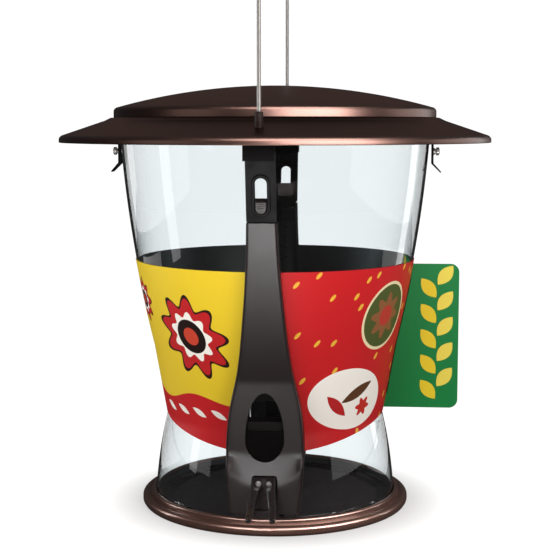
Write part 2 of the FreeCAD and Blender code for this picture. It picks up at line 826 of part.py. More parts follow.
def build_perch(side, rear):
    """Two drooping prongs on a stem that reaches the gate, and the pins through both."""
    tip_outer = s.perch_tip_half + s.perch_prong_width / 2
    tip_inner = s.perch_tip_half - s.perch_prong_width / 2
    crotch = perch_front_out + s.perch_crotch_depth
    plan = extrude(f"{side}_perch_plan", "XY", [
        (-s.perch_stem_half, -gate_front_out),
        (-s.perch_stem_half, -perch_front_out),
        (-tip_outer, -s.perch_reach),
        (-tip_inner, -s.perch_reach),
        (-s.perch_crotch_half, -crotch),
        (s.perch_crotch_half, -crotch),
        (tip_inner, -s.perch_reach),
        (tip_outer, -s.perch_reach),
        (s.perch_stem_half, -perch_front_out),
        (s.perch_stem_half, -gate_front_out),
    ], 0, perch_top)
    profile = extrude(f"{side}_perch_side", "YZ", [
        (-gate_front_out, perch_underside),
        (-gate_front_out, perch_top),
        (-perch_front_out, perch_top),
        (-s.perch_reach, s.perch_tip_height + s.perch_tip_thickness),
        (-s.perch_reach, s.perch_tip_height),
        (-perch_front_out, perch_underside),
    ], -s.perch_slot_half * 2, s.perch_slot_half * 2)
    blank = common(f"{side}_perch_blank", plan, profile)
    seats = [
        cylinder(f"{side}_perch_pin_seat_{index}", s.perch_pin_head + s.fit_clearance,
                 (x, -s.perch_reach, pin_height()), s.perch_reach - perch_front_out, "y")
        for index, x in enumerate((s.perch_pin_spread, -s.perch_pin_spread))
    ]
    node(cut(f"{side}_perch_body", blank, *pin_holes(f"{side}_perch"), *seats), f"{side}_perch", rear)

    pins = []
    for index, x in enumerate((s.perch_pin_spread, -s.perch_pin_spread)):
        shank = cylinder(f"{side}_pin_shank_{index}", s.perch_pin_radius,
                         (x, -perch_front_out, pin_height()), perch_front_out - gate_back_out, "y")
        head = cylinder(f"{side}_pin_head_{index}", s.perch_pin_head,
                        (x, -(perch_front_out + s.perch_pin_head_height), pin_height()),
                        s.perch_pin_head_height, "y")
        pins.append(fuse(f"{side}_pin_{index}", shank, head))
    node(group(f"{side}_pin_pair", pins), f"{side}_perch_pins", rear)


def biarc(start, start_way, end, end_way):
    """Two arcs, tangent to each other, from one point and direction to another."""
    span = end - start
    both = start_way + end_way
    turn = 2 * (1 - start_way.dot(end_way))
    reach = span.dot(both)
    arm = (math.sqrt(reach ** 2 + turn * span.dot(span)) - reach) / turn
    corners = (start + start_way * arm, end - end_way * arm)
    joint = (corners[0] + corners[1]) * 0.5
    return [round_corner(start, corners[0], joint), round_corner(joint, corners[1], end)]


def round_corner(start, corner, end):
    """Arc from start to end, tangent to the two equal arms that meet at the corner."""
    middle = (start + end) * 0.5
    rise = corner - middle
    half = (end - start).Length / 2
    sagitta = half * math.tan(math.atan2(rise.Length, half) / 2)
    return Part.Arc(start, middle + rise.normalize() * sagitta, end).toShape()


def build_spring(side, rear):
    """Extension coil from the gate's shelf to the adjuster's flange: one wire of biarcs and short ends.

    A point of the coil lies at an angle round the slanted axis and climbs steadily along it. The last
    turn ends on the coil's higher side, so the axis stops short of the flange by that end's rise.
    """
    wire = s.spring_wire_radius.number
    bend = s.spring_bend.number
    stub = 2 * wire
    seat = s.spring_seat_gap.number
    ends = bend + stub + seat
    radius = s.spring_radius.number
    turns = int(s.spring_turns.number)
    shelf = (s.gate_top + s.gate_thickness).number
    flange = (slot_bottom + s.slide_clearance - s.adjuster_flange_drop).number
    slant = math.atan2((s.spring_high_out - s.spring_low_out).number, flange - shelf)
    pitch_angle = math.atan2(flange - shelf, 2 * math.pi * turns * radius)
    end_rise = (radius + wire) * math.sin(slant) + bend * math.sin(pitch_angle)
    low = FreeCAD.Vector(0, -s.spring_low_out.number, shelf + ends)
    high = FreeCAD.Vector(0, -s.spring_high_out.number, flange - ends - end_rise)
    axis = (high - low).normalize()
    across = FreeCAD.Vector(1, 0, 0)
    inward = axis.cross(across).normalize()
    if inward.y < 0:
        inward = -inward
        across = -across
    length = (high - low).Length
    climb = length / (2 * math.pi * turns)

    def point(angle):
        return low + axis * (climb * angle) + (inward * math.cos(angle) + across * math.sin(angle)) * radius

    def way(angle):
        round_way = (across * math.cos(angle) - inward * math.sin(angle)) * radius
        return (round_way + axis * climb).normalize()

    half_turns = 2 * turns
    angles = [math.pi * index for index in range(half_turns + 1)]
    bottom_bend = point(angles[0]) - way(angles[0]) * bend - axis * bend
    top_bend = point(angles[-1]) + way(angles[-1]) * bend + axis * bend
    bottom = bottom_bend - axis * stub
    top = top_bend + axis * stub
    edges = [Part.LineSegment(bottom, bottom_bend).toShape()]
    edges += biarc(bottom_bend, axis, point(angles[0]), way(angles[0]))
    for start, end in zip(angles, angles[1:]):
        edges += biarc(point(start), way(start), point(end), way(end))
    edges += biarc(point(angles[-1]), way(angles[-1]), top_bend, axis)
    edges.append(Part.LineSegment(top_bend, top).toShape())
    section = Part.Wire(Part.Circle(bottom, axis, wire).toShape())
    coil = doc.addObject("Part::Feature", f"{side}_coil")
    coil.Shape = Part.Wire(edges).makePipeShell([section], True, False)
    samples_per_turn = 24
    samples = [point(2 * math.pi * index / samples_per_turn) for index in range(turns * samples_per_turn)]
    skip = samples_per_turn // 2
    gap = min((b - a).Length for i, a in enumerate(samples) for b in samples[i + skip:]) - 2 * wire
    print(f"{side} spring: {turns} turns, least gap to itself {gap:.2f} mm, bend radius {bend:.2f} mm")
    node(coil, f"{side}_spring", rear)


def build_bail():
    """Hanging wire: two straight legs that the roof slides on, bent in to an apex, with its nuts."""
    width = s.bail_out
    rise = s.bail_apex - s.bail_shoulder
    slope = root(width * width + rise * rise)
    shoulder_arm = s.bail_shoulder_bend * (slope - rise) / width
    apex_arm = s.bail_apex_bend * rise / width
    shoulder_bend = (s.bail_shoulder_bend, LEFT_OF_TRAVEL)
    legs_end = s.bail_shoulder - shoulder_arm
    slope_start_out = width - shoulder_arm * width / slope
    slope_start = s.bail_shoulder + shoulder_arm * rise / slope
    slope_end_out = apex_arm * width / slope
    slope_end = s.bail_apex - apex_arm * rise / slope
    path = outline("bail_path", "YZ", [
        (-width, bail_foot),
        (-width, legs_end, shoulder_bend),
        (-slope_start_out, slope_start),
        (-slope_end_out, slope_end, (s.bail_apex_bend, LEFT_OF_TRAVEL)),
        (slope_end_out, slope_end),
        (slope_start_out, slope_start, shoulder_bend),
        (width, legs_end),
        (width, bail_foot),
    ], closed=False)
    section = doc.addObject("Part::Circle", "bail_section")
    bind(section, "Radius", s.bail_wire_radius)
    put_at(section, (0, -width, bail_foot))
    wire = doc.addObject("Part::Sweep", "bail_wire")
    wire.Sections = [section]
    wire.Spine = (path, [f"Edge{index}" for index in range(1, 8)])
    wire.Solid = True
    wire.Frenet = False
    node(wire, "bail")

    nuts = []
    for side, out in (("front", -width), ("rear", width)):
        for place, bottom in (("low", strap_shelf - s.nut_height), ("high", strap_shelf_top)):
            blank = doc.addObject("Part::Prism", f"{side}_{place}_nut_blank")
            blank.Polygon = 6
            bind(blank, "Circumradius", s.nut_radius)
            bind(blank, "Height", s.nut_height)
            put_at(blank, (0, out, bottom))
            bore = cylinder(f"{side}_{place}_nut_bore", s.bail_wire_radius + s.fit_clearance,
                            (0, out, bottom - s.nut_height), s.nut_height * 3)
            nuts.append(cut(f"{side}_{place}_nut", blank, bore))
    node(group("bail_nut_set", nuts), "bail_nuts")


def build_roof():
    """Two-tier roof: a brim with a lip and a collar, a dome riveted on it, and the bail's grommets."""
    sheet = s.roof_sheet
    collar_outer = s.hopper_mouth_radius - s.hopper_wall - s.collar_gap
    collar_bottom = brim_underside - s.collar_depth
    hole_radius = collar_outer - s.brim_ledge
    dome_radius = s.hopper_mouth_radius + s.dome_overhang
    seat_radius = dome_radius + s.dome_margin
    step_radius = seat_radius + s.brim_step_width
    step_height = brim_seat - s.brim_step_drop
    edge_radius = s.roof_radius - s.brim_edge_inset
    edge_height = step_height - s.brim_slope_drop
    lip_top = edge_height - s.brim_edge_drop
    lip_bottom = lip_top - s.brim_lip_depth
    lip_inner = s.roof_radius - sheet
    edge = (s.brim_edge_curve, RIGHT_OF_TRAVEL)
    inner_edge = (s.brim_edge_curve, LEFT_OF_TRAVEL)
    skin = revolve("brim_skin", [
        (hole_radius, brim_underside),
        (collar_outer - sheet, brim_underside),
        (collar_outer - sheet, collar_bottom),
        (collar_outer, collar_bottom),
        (collar_outer, brim_underside),
        (seat_radius, brim_underside),
        (step_radius, step_height - sheet),
        (edge_radius - sheet, edge_height - sheet, inner_edge),
        (lip_inner, lip_top - sheet),
        (lip_inner, lip_bottom),
        (s.roof_radius, lip_bottom),
        (s.roof_radius, lip_top, edge),
        (edge_radius, edge_height),
        (step_radius, step_height),
        (seat_radius, brim_seat),
        (hole_radius, brim_seat),
    ])
    grommet_room = s.grommet_radius + s.fit_clearance
    grommet_bottom = brim_seat - s.grommet_drop
    depth = s.grommet_rise + s.grommet_drop
    tools = [
        cylinder(f"{side}_brim_hole", grommet_room, (0, out, grommet_bottom), depth)
        for side, out in (("front", -s.bail_out), ("rear", s.bail_out))
    ]
    rivet_hole = s.roof_rivet_radius + s.fit_clearance
    rivet_circle = hole_radius + s.roof_rivet_inset
    rivet_places = list(around(int(s.roof_rivet_count.number), rivet_circle, 0.5))
    for index, (x, y) in enumerate(rivet_places):
        start = (x, y, brim_underside - sheet)
        tools.append(cylinder(f"brim_rivet_hole_{index}", rivet_hole, start, sheet * 3))
    node(cut("brim_body", skin, *tools), "roof_brim")

    band_top = brim_seat + s.dome_band
    shoulder_radius = dome_radius - s.dome_shoulder_inset
    shoulder_height = band_top + s.dome_shoulder_rise
    rise = s.dome_crown_rise
    crown = shoulder_height + rise
    crown_curve = (shoulder_radius * shoulder_radius + rise * rise) / (rise * 2)
    crown_centre = crown - crown_curve
    shrink = (crown_curve - sheet) / crown_curve
    flange_top = brim_seat + sheet
    dome_skin = revolve("dome_skin", [
        (hole_radius, brim_seat),
        (dome_radius, brim_seat),
        (dome_radius, band_top, (s.dome_shoulder_curve, RIGHT_OF_TRAVEL)),
        (shoulder_radius, shoulder_height, (crown_curve, RIGHT_OF_TRAVEL)),
        (0, crown),
        (0, crown - sheet, (crown_curve - sheet, LEFT_OF_TRAVEL)),
        (shoulder_radius * shrink, crown_centre + (shoulder_height - crown_centre) * shrink,
         (s.dome_shoulder_curve, LEFT_OF_TRAVEL)),
        (dome_radius - sheet, band_top - sheet / 3),
        (dome_radius - sheet, flange_top),
        (hole_radius, flange_top),
    ])
    holes = [
        cylinder(f"dome_rivet_hole_{index}", rivet_hole, (x, y, brim_underside), sheet * 3)
        for index, (x, y) in enumerate(rivet_places)
    ]
    node(cut("dome_body", dome_skin, *holes), "roof_dome")

    rivets = []
    for index, (x, y) in enumerate(rivet_places):
        shank = cylinder(f"rivet_shank_{index}", s.roof_rivet_radius, (x, y, brim_underside), sheet * 2)
        low = cylinder(f"rivet_low_head_{index}", s.roof_rivet_head,
                       (x, y, brim_underside - s.roof_rivet_head_height), s.roof_rivet_head_height)
        high = cylinder(f"rivet_high_head_{index}", s.roof_rivet_head,
                        (x, y, flange_top), s.roof_rivet_head_height)
        rivets.append(fuse(f"rivet_{index}", shank, low, high))
    node(group("rivet_set", rivets), "roof_rivets")

    grommets = []
    for side, out in (("front", -s.bail_out), ("rear", s.bail_out)):
        sleeve = cylinder(f"{side}_sleeve", s.grommet_radius, (0, out, grommet_bottom), depth)
        bore = cylinder(f"{side}_sleeve_bore", s.bail_wire_radius + s.grommet_wire_gap,
                        (0, out, grommet_bottom - sheet), depth + sheet * 2)
        grommets.append(cut(f"{side}_grommet", sleeve, bore))
    node(group("grommet_pair", grommets), "bail_grommets")


def build_clips():
    """Lid clips at the sides: bracket ears and a pin under the brim, a sheet strip and its knob."""
    ears, pins = [], []
    pin_out = s.hopper_mouth_radius + s.clip_gap
    pin_height = brim_underside - s.clip_pin_drop
    ear_bottom = pin_height - s.clip_ear_drop
    bend_height = pin_height - s.clip_strip_length
    tab_height = bend_height - s.clip_tab_drop
    tab_out = pin_out + s.clip_tab_flare
    knob_height = pin_height - s.knob_drop
    ear_start = s.clip_half + s.clip_ear_gap
    ear_end = ear_start + s.clip_ear_thickness
    pin_room = s.clip_pin_radius + s.fit_clearance
    for side, sign in (("left", -1), ("right", 1)):
        def across(out):
            return sign * out

        pin_x = across(pin_out)
        low_x = pin_x - s.clip_ear_half
        high_x = pin_x + s.clip_ear_half
        for place, start, end in (("near", -ear_end, -ear_start), ("far", ear_start, ear_end)):
            ear = box(f"{side}_{place}_ear", (low_x, start, ear_bottom), (high_x, end, brim_underside))
            bore = cylinder(f"{side}_{place}_ear_bore", pin_room,
                            (pin_x, start - s.clip_ear_thickness, pin_height),
                            s.clip_ear_thickness * 3, "y")
            ears.append(cut(f"{side}_{place}_ear_body", ear, bore))
        pins.append(cylinder(f"{side}_pin", s.clip_pin_radius, (pin_x, -ear_end, pin_height),
                             ear_end * 2, "y"))

        strip_inner = pin_out - s.clip_eye_radius
        strip_outer = strip_inner + s.clip_sheet
        strip = extrude(f"{side}_clip_strip", "XZ", [
            (across(strip_inner), pin_height),
            (across(strip_outer), pin_height),
            (across(strip_outer), bend_height),
            (across(tab_out), tab_height + s.clip_sheet),
            (across(tab_out), tab_height),
            (across(strip_inner), bend_height - s.clip_sheet / 2),
        ], -s.clip_half, s.clip_half)
        eye = cylinder(f"{side}_clip_eye", s.clip_eye_radius, (pin_x, -s.clip_half, pin_height),
                       s.clip_half * 2, "y")
        eye_bore = cylinder(f"{side}_clip_eye_bore", pin_room, (pin_x, -s.clip_half * 2, pin_height),
                            s.clip_half * 4, "y")
        reach = s.knob_length + s.clip_sheet * 2
        knob_turn = AXIS_TURNS["x"] if sign > 0 else AXIS_TURNS["x"].inverted()
        shank_start = (across(strip_inner), 0, knob_height)
        knob_room = s.knob_shank_radius + s.fit_clearance
        knob_hole = cylinder(f"{side}_knob_hole", knob_room, shank_start, reach, "x")
        knob_hole.Placement.Rotation = knob_turn
        blank = fuse(f"{side}_clip_blank", strip, eye)
        node(cut(f"{side}_clip_body", blank, eye_bore, knob_hole), f"{side}_clip")

        shank = cylinder(f"{side}_knob_shank", s.knob_shank_radius, shank_start, s.clip_sheet, "x")
        head = cylinder(f"{side}_knob_head", s.knob_radius, (across(strip_outer), 0, knob_height),
                        s.knob_length, "x")
        shank.Placement.Rotation = knob_turn
        head.Placement.Rotation = knob_turn
        node(fuse(f"{side}_knob_body", shank, head), f"{side}_clip_knob")
    node(group("ear_set", ears), "clip_brackets")
    node(group("pin_pair", pins), "clip_pins")


def build_labels():
    """Printed wrap in two halves that end behind the columns, and the card that stands out at the right."""
    skin = cut("label_skin",
               hopper_envelope("label_outside", s.label_gap + s.label_thickness),
               hopper_envelope("label_inside", s.label_gap))
    behind_columns = extrude("label_ends", "XZ", column_outline(s.column_wall, s.column_bottom, s.column_top),
                             -s.label_reach, s.label_reach)
    fall = s.label_curve - root(s.label_curve * s.label_curve - s.label_reach * s.label_reach)
    for side, sign in (("left", -1), ("right", 1)):
        bulge = RIGHT_OF_TRAVEL if sign > 0 else LEFT_OF_TRAVEL
        region = extrude(f"{side}_label_region", "XZ", [
            (0, s.label_dip, (s.label_curve, bulge)),
            (sign * s.label_reach, s.label_dip + fall),
            (sign * s.label_reach, s.label_top),
            (0, s.label_top),
        ], -s.label_reach, s.label_reach)
        half = common(f"{side}_label_half", skin, region)
        node(cut(f"{side}_label_body", half, behind_columns), f"{side}_label")

    bend = (s.tag_corner, RIGHT_OF_TRAVEL)
    seat = s.label_gap + s.label_thickness + s.tag_gap
    plane_end = s.tag_plane + s.tag_thickness
    card = extrude("tag_card", "XZ", [
        (s.hopper_waist_radius / 2, s.tag_bottom),
        (s.tag_out - s.tag_corner, s.tag_bottom, bend),
        (s.tag_out, s.tag_bottom + s.tag_corner),
        (s.tag_out, s.tag_top - s.tag_corner, bend),
        (s.tag_out - s.tag_corner, s.tag_top),
        (s.hopper_waist_radius / 2, s.tag_top),
    ], s.tag_plane, plane_end)
    flap_skin = cut("tag_flap_skin",
                    hopper_envelope("tag_flap_outside", seat + s.tag_thickness),
                    hopper_envelope("tag_flap_inside", seat))
    flap = common("tag_flap", flap_skin, box(
        "tag_flap_room", (s.hopper_waist_radius / 2, s.tag_plane, s.tag_bottom + s.tag_flap_margin),
        (s.tag_out, s.tag_plane + s.tag_flap, s.tag_top - s.tag_flap_margin)))
    edge = cut("tag_edge", card, hopper_envelope("tag_room", seat))
    node(fuse("tag_body", edge, flap), "side_tag")


def check_document():
    """Stop before anything is written if an object failed or a sub-part is not a valid solid."""
    for thing in doc.Objects:
        if "Invalid" in thing.State or "Error" in thing.State:
            raise RuntimeError(f"{thing.Label} failed: {thing.State}")
    for thing in nodes:
        if thing.Shape.isNull() or not thing.Shape.isValid() or not thing.Shape.Solids:
            raise RuntimeError(f"{thing.Label} has no valid solid")


def write_parts():
    """Write each sub-part to its own file."""
    os.makedirs("parts", exist_ok=True)
    for thing in nodes:
        thing.Shape.exportStep(f"parts/{thing.Label}.step")
        print(f"{thing.Label}: {len(thing.Shape.Solids)} solids, {thing.Shape.Volume:.1f} mm3")


build_tray()
build_hopper()
build_column_screws()
for column_side, at_rear in (("front", False), ("rear", True)):
    build_column(column_side, at_rear)
    build_strap(column_side, at_rear)
    build_adjuster(column_side, at_rear)
    build_port(column_side, at_rear)
    build_gate(column_side, at_rear)
    build_perch(column_side, at_rear)
    build_spring(column_side, at_rear)
build_bail()
build_roof()
build_clips()
build_labels()
doc.recompute()
check_document()
write_parts()
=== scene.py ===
"""Dressed model of a hanging seed feeder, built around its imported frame.

Sizes are millimetres in the frame's own axes: the origin is the centre of the tray's underside, +Z is up and
the front column stands at -Y. "Out" is a distance from the axis towards a column's own side. A mesh is scaled
to metres when it is made.
"""
import json
import logging
import math
from dataclasses import dataclass, field
from enum import Enum
from typing import Any, Mapping, Optional, Sequence, Union

import bmesh
import bpy
import numpy as np
from bpy.types import Material, Mesh, Node, NodeSocket, NodeTree, Object
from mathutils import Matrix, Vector

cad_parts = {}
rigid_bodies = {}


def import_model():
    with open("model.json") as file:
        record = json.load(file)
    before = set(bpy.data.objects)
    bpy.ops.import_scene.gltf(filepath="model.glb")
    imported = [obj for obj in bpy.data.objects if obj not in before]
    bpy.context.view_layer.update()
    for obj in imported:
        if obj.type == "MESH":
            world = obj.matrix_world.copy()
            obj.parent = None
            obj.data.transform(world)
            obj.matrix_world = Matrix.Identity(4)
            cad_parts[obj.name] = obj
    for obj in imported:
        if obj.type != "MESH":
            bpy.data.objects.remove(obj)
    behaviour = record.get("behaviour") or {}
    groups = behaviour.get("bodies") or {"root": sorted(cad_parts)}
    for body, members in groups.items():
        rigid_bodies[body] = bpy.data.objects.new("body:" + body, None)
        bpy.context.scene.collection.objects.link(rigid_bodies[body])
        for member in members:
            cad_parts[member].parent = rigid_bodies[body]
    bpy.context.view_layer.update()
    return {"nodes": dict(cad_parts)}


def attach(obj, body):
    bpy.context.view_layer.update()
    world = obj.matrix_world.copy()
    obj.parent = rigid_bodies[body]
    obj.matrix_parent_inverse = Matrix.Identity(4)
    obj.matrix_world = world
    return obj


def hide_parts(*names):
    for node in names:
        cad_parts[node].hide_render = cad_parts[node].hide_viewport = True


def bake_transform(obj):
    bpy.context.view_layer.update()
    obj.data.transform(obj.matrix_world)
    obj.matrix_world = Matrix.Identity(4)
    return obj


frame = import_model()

# A point, or two or three sizes of one feature
Pair = tuple[float, float]
Triple = tuple[float, float, float]
MM = 0.001
LOG = logging.getLogger("feeder")
# A Mix node has sockets of one name for each data type, so its colour sockets go by number
MIX_SHARE, MIX_FIRST, MIX_SECOND, MIX_RESULT = 0, 6, 7, 2
UP = (0.0, 0.0, 1.0)
# Directions in space of an outline's x, its y and its axis, for a plate that faces out at the front
OUTWARDS = np.array([(1.0, 0.0, 0.0), (0.0, 0.0, 1.0), (0.0, -1.0, 0.0)])
# Millimetres in one unit of a card's flat coordinates
FLAT_UNIT = 100.0
# What a corner's radius is under half the width where an end is round, so that its two arcs don't meet
ROUND_END = 0.01
# Rounding of a cut or pressed edge
CRISP = 0.3
# Steps round the roof and the tray
ROUND_STEPS = 192


class Side(Enum):
    """The two like stations; the rear one is the front one turned half round the axis."""

    FRONT = "front"
    REAR = "rear"

    @property
    def sign(self) -> float:
        """Factor for X and Y that turns front places to this side."""
        return 1.0 if self is Side.FRONT else -1.0


class Hand(Enum):
    """Left or right of a person who faces the front column."""

    LEFT = "left"
    RIGHT = "right"

    @property
    def sign(self) -> float:
        """Sign of X on this hand."""
        return -1.0 if self is Hand.LEFT else 1.0


# Colour and nodes

def linear(code: str) -> tuple[float, float, float, float]:
    """Linear colour of an sRGB hex code.

    Args:
        code: Hex code such as "#2F1F1E".

    Returns:
        Red, green, blue and an alpha of one.
    """
    parts = np.array([int(code[start:start + 2], 16) for start in (1, 3, 5)]) / 255.0
    light = np.where(parts <= 0.04045, parts / 12.92, ((parts + 0.055) / 1.055) ** 2.4)
    return (*light.tolist(), 1.0)


def add_node(tree: NodeTree, kind: str, settings: Optional[Mapping[str, Any]] = None,
             inputs: Optional[Mapping[Union[str, int], Any]] = None) -> Node:
    """Add a node, set its properties, and set or link its inputs.

    Args:
        tree: Node tree that gets the node.
        kind: Blender's name of the node type.
        settings: Property values by name.
        inputs: For each input socket, a value, or the output socket that is linked to it.

    Returns:
        The new node.
    """
    node = tree.nodes.new(kind)
    for name, value in (settings or {}).items():
        setattr(node, name, value)
    for key, value in (inputs or {}).items():
        if isinstance(value, NodeSocket):
            tree.links.new(value, node.inputs[key])
        else:
            node.inputs[key].default_value = value
    return node


def new_tree(name: str) -> tuple[Material, NodeTree]:
    """Make a material whose node tree is empty.

    Args:
        name: Name of the finish.

    Returns:
        The material and its tree.
    """
    material = bpy.data.materials.new(name)
    material.use_nodes = True
    material.node_tree.nodes.clear()
    return material, material.node_tree


def per_metre(size: float) -> float:
    """Texture scale whose features are about this many millimetres wide."""
    return 1.0 / (size * MM)


@dataclass(frozen=True)
class Coat:
    """An opaque finish: two close tones that drift into each other, a gloss that drifts, and a fine grain.

    Sizes are millimetres: drift is the width of a patch of tone, grain that of a bump and relief its height.
    """

    name: str
    tone: str
    drift_tone: str
    roughness: Pair
    drift: float
    grain: float
    relief: float
    metallic: float = 0.0
    coat: float = 0.0
    coat_roughness: float = 0.1
    specular: float = 0.5
    stretch: Triple = (1.0, 1.0, 1.0)

    def material(self) -> Material:
        """Build the node tree of this finish.

        Returns:
            The material.
        """
        material, tree = new_tree(self.name)
        place = add_node(tree, "ShaderNodeTexCoord").outputs["Object"]
        place = add_node(tree, "ShaderNodeMapping", None, {"Vector": place, "Scale": self.stretch}).outputs[0]
        drift = add_node(tree, "ShaderNodeTexNoise", None, {
            "Vector": place, "Scale": per_metre(self.drift), "Detail": 4.0, "Roughness": 0.6}).outputs["Fac"]
        grain = add_node(tree, "ShaderNodeTexNoise", None, {
            "Vector": place, "Scale": per_metre(self.grain), "Detail": 2.0}).outputs["Fac"]
        tone = add_node(tree, "ShaderNodeMix", {"data_type": "RGBA"}, {
            MIX_SHARE: drift, MIX_FIRST: linear(self.tone), MIX_SECOND: linear(self.drift_tone)})
        low, high = self.roughness
        gloss = add_node(tree, "ShaderNodeMapRange", None, {
            "Value": drift, "From Min": 0.3, "From Max": 0.7, "To Min": low, "To Max": high})
        bump = add_node(tree, "ShaderNodeBump", None, {
            "Strength": 1.0, "Distance": self.relief * MM, "Height": grain})
        shader = add_node(tree, "ShaderNodeBsdfPrincipled", None, {
            "Base Color": tone.outputs[MIX_RESULT], "Roughness": gloss.outputs["Result"],
            "Metallic": self.metallic, "Specular IOR Level": self.specular, "Coat Weight": self.coat,
            "Coat Roughness": self.coat_roughness, "Normal": bump.outputs["Normal"]})
        add_node(tree, "ShaderNodeOutputMaterial", None, {"Surface": shader.outputs[0]})
        return material


@dataclass(frozen=True)
class ClearPlastic:
    """Moulded clear polycarbonate: pale, a little blue where light runs along the wall, clear to shadows."""

    name: str = "moulded_clear_polycarbonate"
    tone: str = "#FAFEFF"
    depth_tone: str = "#6F8790"
    depth: float = 3.0
    ior: float = 1.5
    roughness: float = 0.015
    flow: float = 90.0
    relief: float = 0.05

    def material(self) -> Material:
        """Build a refracting wall that absorbs with depth and lets shadow rays through.

        Returns:
            The material.
        """
        material, tree = new_tree(self.name)
        place = add_node(tree, "ShaderNodeTexCoord").outputs["Object"]
        flow = add_node(tree, "ShaderNodeTexNoise", None, {
            "Vector": place, "Scale": per_metre(self.flow), "Detail": 1.0})
        bump = add_node(tree, "ShaderNodeBump", None, {
            "Strength": 0.3, "Distance": self.relief * MM, "Height": flow.outputs["Fac"]})
        wall = add_node(tree, "ShaderNodeBsdfPrincipled", None, {
            "Base Color": linear(self.tone), "Roughness": self.roughness, "IOR": self.ior,
            "Transmission Weight": 1.0, "Normal": bump.outputs["Normal"]})
        clear = add_node(tree, "ShaderNodeBsdfTransparent", None, {"Color": linear(self.tone)})
        path = add_node(tree, "ShaderNodeLightPath")
        mixed = add_node(tree, "ShaderNodeMixShader", None, {
            0: path.outputs["Is Shadow Ray"], 1: wall.outputs[0], 2: clear.outputs[0]})
        depth = add_node(tree, "ShaderNodeVolumeAbsorption", None, {
            "Color": linear(self.depth_tone), "Density": self.depth})
        add_node(tree, "ShaderNodeOutputMaterial", None, {
            "Surface": mixed.outputs[0], "Volume": depth.outputs[0]})
        return material


# Curves and grids

def bend_points(start: Sequence[float], end: Sequence[float], radius: float, count: int = 12) -> np.ndarray:
    """Arc of under half a circle that bulges to the left of the way from start to end.

    The centre lies to the right of the chord's middle when the radius is positive, at the distance that
    Pythagoras gives; a negative radius bulges to the right.

    Args:
        start: First point, (x, y).
        end: Last point, (x, y).
        radius: Radius, with its sign.
        count: Number of points.

    Returns:
        Points of the arc, both ends included.
    """
    first, last = np.asarray(start, float), np.asarray(end, float)
    chord = last - first
    half = np.hypot(*chord) / 2
    left = np.array([-chord[1], chord[0]]) / (2 * half)
    side = math.copysign(1.0, radius)
    centre = (first + last) / 2 - left * side * math.sqrt(radius * radius - half * half)
    sweep = -2 * side * math.asin(half / abs(radius))
    turn = np.linspace(0.0, sweep, count)
    arm = first - centre
    return centre + np.stack([arm[0] * np.cos(turn) - arm[1] * np.sin(turn),
                              arm[0] * np.sin(turn) + arm[1] * np.cos(turn)], axis=1)


def rounded(corners: Sequence[Sequence[float]], closed: bool = True, count: int = 6) -> np.ndarray:
    """Outline through corners (x, y, radius), each cut by an arc that is tangent to both its sides.

    Args:
        corners: Corners in order; a radius of zero keeps the corner sharp.
        closed: Whether the last corner joins the first.
        count: Points in each arc.

    Returns:
        Points of the outline.
    """
    places = np.array([corner[:2] for corner in corners], float)
    runs = []
    for index, corner in enumerate(corners):
        inner = closed or 0 < index < len(corners) - 1
        if corner[2] <= 0 or not inner:
            runs.append(places[index:index + 1])
            continue
        back = places[index - 1] - places[index]
        ahead = places[(index + 1) % len(places)] - places[index]
        back, ahead = back / np.hypot(*back), ahead / np.hypot(*ahead)
        half = math.acos(np.clip(back @ ahead, -1.0, 1.0)) / 2
        arm = corner[2] / math.tan(half)
        cross = back[0] * ahead[1] - back[1] * ahead[0]
        first, last = places[index] + back * arm, places[index] + ahead * arm
        runs.append(bend_points(first, last, math.copysign(corner[2], cross), count))
    return np.concatenate(runs)


def revolved(profile: np.ndarray, count: int = 160) -> np.ndarray:
    """Grid of a profile (radius, height) turned about Z: x = r cos a, y = r sin a.

    Args:
        profile: Profile points.
        count: Places round the axis.

    Returns:
        Points as profile by angle by 3.
    """
    angle = np.linspace(0.0, 2 * math.pi, count, endpoint=False)
    radius, height = profile[:, :1], profile[:, 1:]
    return np.stack([radius * np.cos(angle), radius * np.sin(angle), height + 0.0 * angle], axis=2)


def turned(profile: np.ndarray, centre: Sequence[float], axis: Sequence[float], count: int) -> np.ndarray:
    """Grid of a profile (radius, distance) turned about an axis through a centre.

    Args:
        profile: Profile points.
        centre: Point where the distance is zero.
        axis: Direction of the axis.
        count: Places round the axis.

    Returns:
        Points as profile by angle by 3.
    """
    along = np.asarray(axis, float) / np.linalg.norm(axis)
    helper = np.array([0.0, 0.0, 1.0]) if abs(along[2]) < 0.9 else np.array([1.0, 0.0, 0.0])
    across = np.cross(helper, along)
    across /= np.linalg.norm(across)
    basis = np.stack([across, np.cross(along, across), along])
    return np.asarray(centre, float) + revolved(profile, count) @ basis


def swept(path: np.ndarray, section: np.ndarray) -> np.ndarray:
    """Grid of a flat section carried along a path, turned as little as possible from point to point.

    The frame at each point is the last one turned by the smallest rotation that follows the path's direction.

    Args:
        path: Points of the path.
        section: Section points (across, up) in the frame of the path.

    Returns:
        Points as path by section by 3.
    """
    ahead = np.roll(path, -1, axis=0) - np.roll(path, 1, axis=0)
    ahead[0], ahead[-1] = path[1] - path[0], path[-1] - path[-2]
    ahead = ahead / np.linalg.norm(ahead, axis=1, keepdims=True)
    helper = np.array([1.0, 0.0, 0.0]) if abs(ahead[0, 0]) < 0.9 else np.array([0.0, 1.0, 0.0])
    across = helper - ahead[0] * (helper @ ahead[0])
    frames = []
    for direction in ahead:
        across = across - direction * (across @ direction)
        across = across / np.linalg.norm(across)
        frames.append(across)
    across = np.array(frames)
    up = np.cross(ahead, across)
    return path[:, None] + across[:, None] * section[None, :, :1] + up[:, None] * section[None, :, 1:]


